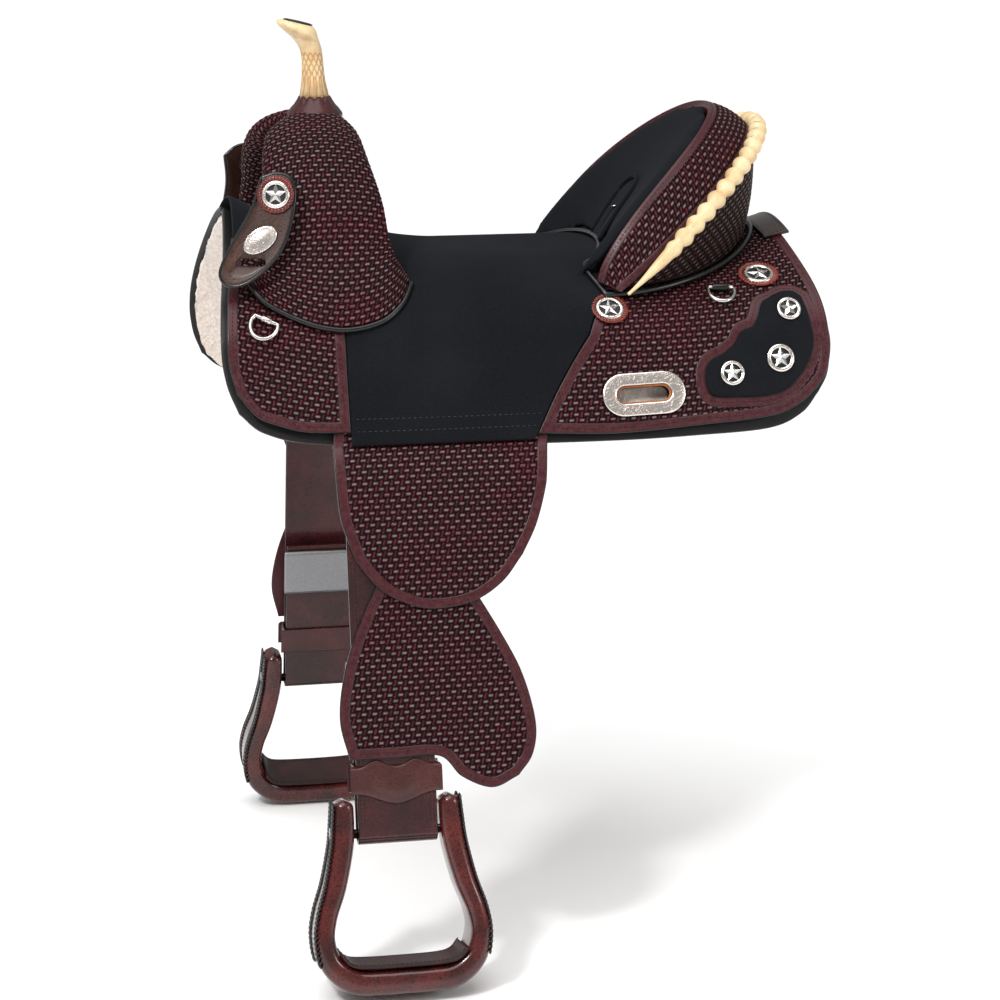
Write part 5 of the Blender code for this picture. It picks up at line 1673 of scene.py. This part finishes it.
# ---------------------------------------------------------------- legs
FLAP_THICK = 0.0030
HEART_OUT = STRAP_THICK / 2 + GAP + FLAP_THICK / 2
FLAP_OUT = HEART_OUT + FLAP_THICK + GAP
FLAP_RISE = -0.017  # how far the flap reaches up under the seat's lip
FLAP_OVER_HEART = (0.03, 0.09)  # down the leg, where the flap comes to lie over the heart
FLAP_EDGES = {
    "top": [(-0.1990, FLAP_RISE), (-0.10, FLAP_RISE), (0.0075, FLAP_RISE)],
    "left": [(-0.1990, FLAP_RISE), (-0.2010, 0.0015), (-0.2005, 0.0300), (-0.1975, 0.0620),
             (-0.1860, 0.0980)],
    "bottom": [(-0.1860, 0.0980), (-0.1669, 0.1234), (-0.1435, 0.1388), (-0.1149, 0.1469),
               (-0.0760, 0.1422), (-0.0461, 0.1246), (-0.0250, 0.0990)],
    "right": [(0.0075, FLAP_RISE), (0.0065, 0.0015), (0.0010, 0.0350), (-0.0100, 0.0700),
              (-0.0250, 0.0990)],
}
HEART_EDGES = {
    "top": [(-0.1640, 0.1180), (-0.120, 0.1120), (-0.0800, 0.1180)],
    "left": [(-0.1640, 0.1180), (-0.1860, 0.1620), (-0.2010, 0.2050), (-0.2068, 0.2480),
             (-0.1990, 0.2860)],
    "bottom": [(-0.1990, 0.2860), (-0.1560, 0.2860), (-0.1130, 0.2870), (-0.0920, 0.3080),
               (-0.0631, 0.3200), (-0.0370, 0.3100)],
    "right": [(-0.0800, 0.1180), (-0.0480, 0.1740), (-0.0290, 0.2146), (-0.0185, 0.2600),
              (-0.0225, 0.2900), (-0.0370, 0.3100)],
}
POCKET_T = 0.0215  # the flap's middle above the skin, inside the pocket
POCKET_IN, POCKET_ROUND = 0.012, 0.25  # share above the hem, and metres round for one share
POCKET_BLEND = (-0.006, 0.034)  # down the leg, from on the skin to on the leg's plane
BEND_START, BEND_END = -0.010, 0.008  # down the leg, the span round the lift where a bend would go; none is made
STRAP_RISE = -0.094  # how far the stirrup leather does


def leg_axes(side, x=0.0):
    """Axes along the horse, down the leg and out, from the leg's top at this x."""
    plane = LegPlane(side, constant(0.0))
    return X_AXIS, plane.down, plane.out, plane.top + x * X_AXIS


def make_leg(side, word):
    make_flap(side, word)
    heart = leather(f"heart_leather_{word}", LegPlane(side, constant(HEART_OUT)), HEART_EDGES,
                    FLAP_THICK, "basket", f"fender_{word}",
                    worked=("left", "right", "bottom", "top"))
    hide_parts(f"fender_heart_{word}")
    make_strap(side, word)
    make_hobble(side, word)
    make_buckle(side, word)


class Pocketed(LegPlane):
    """The leg's plane, running up between skirt and jockey above it, tuck metres off the skin."""

    def __init__(self, side, level, tuck):
        super().__init__(side, level)
        self.tuck = tuck
        self.downs = np.linspace(-0.10, 0.36, 461)
        path = self.points([(STRAP_X, down) for down in self.downs])
        self.lengths = travelled(path) + self.downs[0]

    def points(self, grid, lift=0.0):
        grid = np.asarray(grid, float)
        x, down = grid[..., 0], grid[..., 1]
        flat = super().points(np.stack([x, np.maximum(down, 0.0)], -1), lift)
        s = self.side * (1.0 + np.minimum(down, 0.0) / POCKET_ROUND - POCKET_IN)
        tucked = drape(x, s, self.tuck + lift)
        share = ease(down, *POCKET_BLEND)[..., None]
        steady = super().points(grid, lift)
        return tucked * (1 - share) + np.where(down[..., None] < 0, steady, flat) * share

    def chart(self, grid):
        grid = np.asarray(grid, float)
        return np.stack([grid[..., 0], np.interp(grid[..., 1], self.downs, self.lengths)], -1)

    def unchart(self, flat):
        return np.stack([flat[..., 0], np.interp(flat[..., 1], self.lengths, self.downs)], -1)


def bend_with_leg(piece, side):
    """Bakes a layer's placement into its points; the span where it would bend at the leg's lift is
    worked out, but no bend is made.
    """
    plane = LegPlane(side, constant(0.0))
    start, end = (tuple(plane.points(np.array([STRAP_X, down])))
                  for down in (BEND_START, BEND_END))
    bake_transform(piece)


def make_flap(side, word):
    surface = Pocketed(side, lambda down: HEART_OUT + (FLAP_OUT - HEART_OUT)
                       * ease(down, *FLAP_OVER_HEART), POCKET_T)
    flap = leather(f"flap_leather_{word}", surface, FLAP_EDGES, FLAP_THICK, "basket", None,
                   thread=None)
    bend_with_leg(flap, side)
    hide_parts(f"fender_flap_{word}")


def strap_line():
    """The stirrup leather's middle: down the outside, round the bolt and up behind."""
    radius = -BOLT_OUT
    path = [(down, 0.0) for down in (0.08, 0.16, 0.24, 0.30, BOLT_L)]
    for k in range(1, 12):
        angle = math.pi * k / 12
        path.append((BOLT_L + radius * math.sin(angle), -radius + radius * math.cos(angle)))
    return path + [(down, -2 * radius) for down in (BOLT_L, 0.30, 0.24, 0.19)]


def make_strap(side, word):
    _, down, out, top = leg_axes(side, STRAP_X)
    half, thick = STRAP_WIDTH / 2, STRAP_THICK / 2
    tucked = Pocketed(side, constant(0.0), POCKET_T - HEART_OUT)
    hung = list(tucked.points([(STRAP_X, d) for d in np.linspace(STRAP_RISE, 0.06, 23)]))
    hung += [top + d * down + level * out for d, level in strap_line()]
    line = even(hung, 330)
    normal = unit(np.cross(X_AXIS, unit(np.gradient(line, axis=0))))
    normal *= np.sign(normal[40] @ out)
    across = (shares_for(STRAP_WIDTH, 4 * MM) - 0.5) * STRAP_WIDTH
    rim = np.minimum(across + half, half - across)
    lift = (thick - rounding(rim, 1.0 * MM))[None, :, None] * normal[:, None]
    places = line[:, None] + across[None, :, None] * X_AXIS
    strap = shell(f"strap_leather_{word}", places + lift, places - lift, "strap", None,
                  edge=np.broadcast_to(rim, places.shape[:2]).copy())
    bend_with_leg(strap, side)
    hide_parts(f"leather_hanger_{word}", f"stirrup_leather_{word}")
    rows = []
    for inset in (3.0 * MM, 6.5 * MM):
        for edge in (-half + inset, half - inset):
            rows.append([(STRAP_X + edge, 0.10), (STRAP_X + edge, 0.350)])
    sewn_rows(f"stitches_strap_{word}", LegPlane(side, constant(0.0)), rows, "thread",
              f"fender_{word}", thick, 3.6 * MM)


def rounded_box(half_a, half_b, radius, steps=6):
    radius = min(radius, half_a * 0.95, half_b * 0.95)
    points = []
    for ca, cb, start in ((1, 1, 0.0), (-1, 1, 90.0), (-1, -1, 180.0), (1, -1, 270.0)):
        for k in range(steps + 1):
            angle = math.radians(start + 90.0 * k / steps)
            points.append((ca * (half_a - radius) + radius * math.cos(angle),
                           cb * (half_b - radius) + radius * math.sin(angle)))
    return np.array(points)


HOBBLE_TOP, HOBBLE_FOOT, HOBBLE_WAIST = 0.2915, 0.3195, 0.0105
HOBBLE_OUT, HOBBLE_WALL, HOBBLE_SWELL = 2.6 * MM, 2.0 * MM, 1.0 * MM


def make_hobble(side, word):
    """The strap round the leathers: a waisted front with a plain embossed oval."""
    axes = leg_axes(side, STRAP_X)
    half, face = STRAP_WIDTH / 2, -BOLT_OUT + STRAP_THICK / 2
    loop = rounded_box(half + HOBBLE_OUT, face + 2.2 * MM, 2.2 * MM, 5)
    across, high = even(np.vstack([loop, loop[:1]]), 200)[:-1].T
    front = high > face
    share = np.clip(1 - np.abs(across) / half, 0, 1)
    foot = HOBBLE_FOOT + HOBBLE_WAIST * ease(share * front, 0.0, 1.0)
    top = HOBBLE_TOP + 4.0 * MM * np.cos(share * 2 * math.pi) * front
    rings = []
    for f in np.linspace(0, 1, 26):
        oval = np.exp(-((across / 0.021)**4 + ((f - 0.48) / 0.30)**4))
        swell = (HOBBLE_SWELL * oval - 0.7 * MM * (abs(f - 0.5) * 2)**8) * front
        rings.append(at(axes, across, top + (foot - top) * f, BOLT_OUT + high + swell))
    for f in np.linspace(1, 0, 6):
        rings.append(at(axes, across * (1 - HOBBLE_WALL / half), 0.2925 + 0.026 * f,
                        BOLT_OUT + high * 0.86))
    rings.append(rings[0])
    hobble = rings_piece(f"hobble_leather_{word}", rings, "hobble", f"fender_{word}",
                         caps=False)
    weld(hobble)
    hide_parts(f"hobble_strap_{word}")


BUCKLE_TOP, BUCKLE_FOOT, BUCKLE_HALF_THICK = 0.195, 0.245, 2.5 * MM


def make_buckle(side, word):
    """The flat steel buckle plate behind the leathers."""
    axes = leg_axes(side, STRAP_X)
    back = 2 * BOLT_OUT - STRAP_THICK / 2 - GAP - BUCKLE_HALF_THICK
    shape = rounded_box(STRAP_WIDTH / 2 + 3 * MM, BUCKLE_HALF_THICK, 1.5 * MM)
    rings = []
    for d in np.linspace(BUCKLE_TOP, BUCKLE_FOOT, 14):
        grow = 1 - 0.3 * math.exp(-min(d - BUCKLE_TOP, BUCKLE_FOOT - d) / (1.2 * MM))
        rings.append(at(axes, shape[:, 0] * (0.97 + 0.03 * grow), d, back + shape[:, 1] * grow))
    plate = rings_piece(f"buckle_plate_{word}", rings, "steel", f"fender_{word}")
    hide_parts(f"leather_buckle_{word}")


# ---------------------------------------------------------------- stirrups
STIRRUP_LOOP = [
    (0.0508, 0.3240, 0.0190, 0.030), (0.0518, 0.3480, 0.0210, 0.032),
    (0.0540, 0.3700, 0.0215, 0.034), (0.0620, 0.4050, 0.0205, 0.040),
    (0.0715, 0.4330, 0.0190, 0.046), (0.0745, 0.4560, 0.0190, 0.050),
    (0.0680, 0.4790, 0.0220, 0.052), (0.0480, 0.4945, 0.0240, 0.053),
    (0.0220, 0.4970, 0.0240, 0.054), (0.0000, 0.4970, 0.0240, 0.054),
]


def stirrup_path(count):
    right = np.array(STIRRUP_LOOP)
    left = right[:-1][::-1] * np.array([-1, 1, 1, 1])
    path = even(np.vstack([right, left]), count)
    return path, unit(np.gradient(path[:, :2], axis=0))


def stirrup_point(axes, across, down, out):
    return at(axes, across, down, BOLT_OUT + np.asarray(out))


ROD = [(0.0640, 0.2), (0.0640, 7.0), (0.0625, 7.6), (0.0605, 7.0), (0.0600, 4.5)]
TIP_ROUND = 7 * MM  # how far in from an ear's tip it rounds off
LACING_IN, LACING_LEAN, LACING_PITCH = 6.0 * MM, 2.4 * MM, 4.2 * MM
LACING_FOOT = 0.474  # down the leg, where the lacing ends above the tread


def make_stirrup(side, word):
    axes = leg_axes(side, STIRRUP_X)
    body = f"stirrup_{word}"
    path, along = stirrup_path(160)
    gone = travelled(path[:, :2])
    rings = []
    for (across, down, thick, depth), (da, dd), far in zip(path, along, gone):
        tip = min(far, gone[-1] - far)
        crown = math.sqrt(max(0.02, 1 - max(0.0, 1 - tip / TIP_ROUND)**2))
        shape = rounded_box(thick / 2 * crown, depth / 2 * (0.7 + 0.3 * crown), 0.0085)
        rings.append(stirrup_point(axes, across - dd * shape[:, 0], down + da * shape[:, 0],
                                   shape[:, 1]))
    arch = rings_piece(f"stirrup_leather_frame_{word}", rings, "mahogany", body)
    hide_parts(f"stirrup_{word}")
    make_lacing(axes, word, path, along)
    make_tread(axes, word)
    turn = turns(24)
    levels = [(-level, r) for level, r in ROD] + ROD[::-1]
    rod = [stirrup_point(axes, level, BOLT_L + r * MM * np.cos(turn), r * MM * np.sin(turn))
           for level, r in levels]
    bolt = rings_piece(f"bolt_rod_{word}", rod, "nickel", body)
    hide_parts(f"stirrup_bolt_{word}")


def make_lacing(axes, word, path, along):
    """Two black braids down each outer edge of the stirrup, from near the tips of its arms to just
    above the tread.
    """
    normal = np.stack([along[:, 1], -along[:, 0]], 1)
    normal *= np.sign(np.sum(normal * (path[:, :2] - [0.0, 0.42]), 1).mean())
    gone = travelled(path[:, :2])
    centres, longs, ups = [], [], []
    for step in np.arange(3 * MM, gone[-1] - 3 * MM, LACING_PITCH):
        across, down, thick, depth = sample(path, gone, step)
        if down > LACING_FOOT:
            continue
        (nx, nd), (ax, ad) = sample(normal, gone, step), sample(along, gone, step)
        up = unit(nx * axes[0] + nd * axes[1])
        run = unit(ax * axes[0] + ad * axes[1])
        off = thick / 2 + 0.2 * MM
        for rank in (-1, 1):
            for lean in (-1, 1):
                out = rank * (depth / 2 - LACING_IN) + lean * LACING_LEAN
                centres.append(stirrup_point(axes, across + nx * off, down + nd * off, out))
                longs.append(run + lean * 0.95 * axes[2])
                ups.append(up)
    beads(f"stirrup_lacing_{word}", np.array(centres), np.array(longs), np.array(ups),
          (4.1 * MM, 1.7 * MM, 1.5 * MM), "piping", f"stirrup_{word}", 8, 5)


TREAD_LINE = [(-0.0600, 0.4690), (-0.0520, 0.4775), (-0.0380, 0.4808), (0.0, 0.4815),
              (0.0380, 0.4808), (0.0520, 0.4775), (0.0600, 0.4690)]
TREAD_HALF, TREAD_THICK, TREAD_STITCH = 0.0275, 1.9 * MM, 0.0235


def make_tread(axes, word):
    """The leather tread pad: flat on the tread, its ends turned up against the sides."""
    line = even(TREAD_LINE, 60)
    normal = unit(np.stack([np.gradient(line[:, 1]), -np.gradient(line[:, 0])], 1))
    columns = np.linspace(-TREAD_HALF, TREAD_HALF, 26)
    outer, inner = (np.array([stirrup_point(axes, *(line + normal * level).T, c)
                              for c in columns])
                    for level in (0.9 * TREAD_THICK, -0.6 * TREAD_THICK))
    gone = travelled(line)
    edge = np.minimum(*np.meshgrid(np.minimum(columns + TREAD_HALF, TREAD_HALF - columns),
                                   np.minimum(gone, gone[-1] - gone), indexing="ij"))
    pad = shell(f"tread_leather_{word}", outer, inner, "tread", f"stirrup_{word}",
                edge=edge)
    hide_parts(f"tread_pad_{word}")
    outs = normal[:, :1] * axes[0] + normal[:, 1:] * axes[1]
    sewn = (line + normal * 0.95 * TREAD_THICK).T
    rows = [(stirrup_point(axes, *sewn, out), outs) for out in (-TREAD_STITCH, TREAD_STITCH)]
    stitches(f"stitches_tread_{word}", rows, "thread", f"stirrup_{word}")


# ---------------------------------------------------------------- studio
WORLD_LIGHT = 0.42  # how strongly the white surroundings light the saddle
CAMERA_TARGET, CAMERA_FAR = Vector((0.0, 0.0, -0.22)), 3.0
CAMERA_TURN, CAMERA_RISE = math.radians(11.5), math.radians(12.8)
CAMERA_LENS, FLOOR_HALF = 104.76, 60.0
WHITE = (1.0, 1.0, 1.0, 1.0)


def aim(thing, target):
    thing.rotation_euler = (target - thing.location).to_track_quat("-Z", "Y").to_euler()


def add_camera():
    data = bpy.data.cameras.new("camera")
    data.lens, data.sensor_width = CAMERA_LENS, 36.0
    camera = bpy.data.objects.new("camera", data)
    back = Vector((-math.sin(CAMERA_TURN) * math.cos(CAMERA_RISE),
                   -math.cos(CAMERA_TURN) * math.cos(CAMERA_RISE), math.sin(CAMERA_RISE)))
    camera.location = CAMERA_TARGET + back * CAMERA_FAR
    aim(camera, CAMERA_TARGET)
    bpy.context.scene.camera = link(camera)


def add_lamp(name, kind, place, target, energy, **settings):
    data = bpy.data.lights.new(name, kind)
    data.energy = energy
    for key, value in settings.items():
        setattr(data, key, value)
    lamp = link(bpy.data.objects.new(name, data))
    lamp.location = place
    aim(lamp, Vector(target))


def add_floor():
    mesh = bpy.data.meshes.new("floor")
    far, low = FLOOR_HALF, CAD_BOX[0][2] - 2 * MM
    mesh.from_pydata([(-far, -far, low), (far, -far, low), (far, far, low), (-far, far, low)],
                     [], [(0, 1, 2, 3)])
    paint = Paint("studio_floor", roughness=0.9, specular_ior_level=0.1)
    paint.put("Base Color", paint.mix(paint.noise(2.0), (0.93, 0.93, 0.93), (0.96, 0.96, 0.96)))
    mesh.materials.append(paint.material)
    link(bpy.data.objects.new("floor", mesh))


def add_world():
    """White surroundings, dimmer for what they light than for what is seen of them."""
    world = bpy.data.worlds.new("studio")
    world.use_nodes = True
    nodes, links = world.node_tree.nodes, world.node_tree.links
    backdrop = nodes["Background"]
    backdrop.inputs["Color"].default_value = WHITE
    strength = nodes.new("ShaderNodeMapRange")
    strength.inputs["To Min"].default_value = WORLD_LIGHT
    strength.inputs["To Max"].default_value = 1.0
    seen = nodes.new("ShaderNodeLightPath").outputs["Is Camera Ray"]
    links.new(seen, strength.inputs["Value"])
    links.new(strength.outputs[0], backdrop.inputs["Strength"])
    bpy.context.scene.world = world


def add_studio():
    """A white floor and soft light from both sides and above."""
    add_floor()
    add_world()
    bpy.context.scene.view_settings.view_transform = "Standard"
    add_lamp("key", "AREA", (-1.6, -2.0, 2.0), (0.0, 0.0, -0.1), 52.0, shape="DISK", size=0.4)
    add_lamp("fill", "AREA", (2.2, -2.0, 0.8), (0.0, 0.0, -0.1), 22.0, shape="DISK", size=1.0)
    add_lamp("overhead", "SUN", (-0.6, -0.8, 3.0), (0.0, 0.0, 0.0), 2.3,
             angle=math.radians(60.0))


# ---------------------------------------------------------------- build
def dress_hidden_frame():
    """The tree's inner pieces stay as they are, in wood and steel."""
    for name in ("tree_bar_near", "tree_bar_off", "tree_fork", "tree_cantle", "horn_core"):
        node = bpy.data.objects.get(name)
        if node:
            node.data.materials.clear()
            node.data.materials.append(LOOKS["steel" if name == "horn_core" else "wood"])


make_skirts()
make_seat()
make_jockeys()
make_wither_and_housing()
make_rig_plates()
make_conchos()
make_rings()
make_fork()
make_horn()
make_cantle()
make_keepers()
for leg_side, leg_word in SIDES:
    make_leg(leg_side, leg_word)
    make_stirrup(leg_side, leg_word)
dress_hidden_frame()
add_camera()
add_studio()
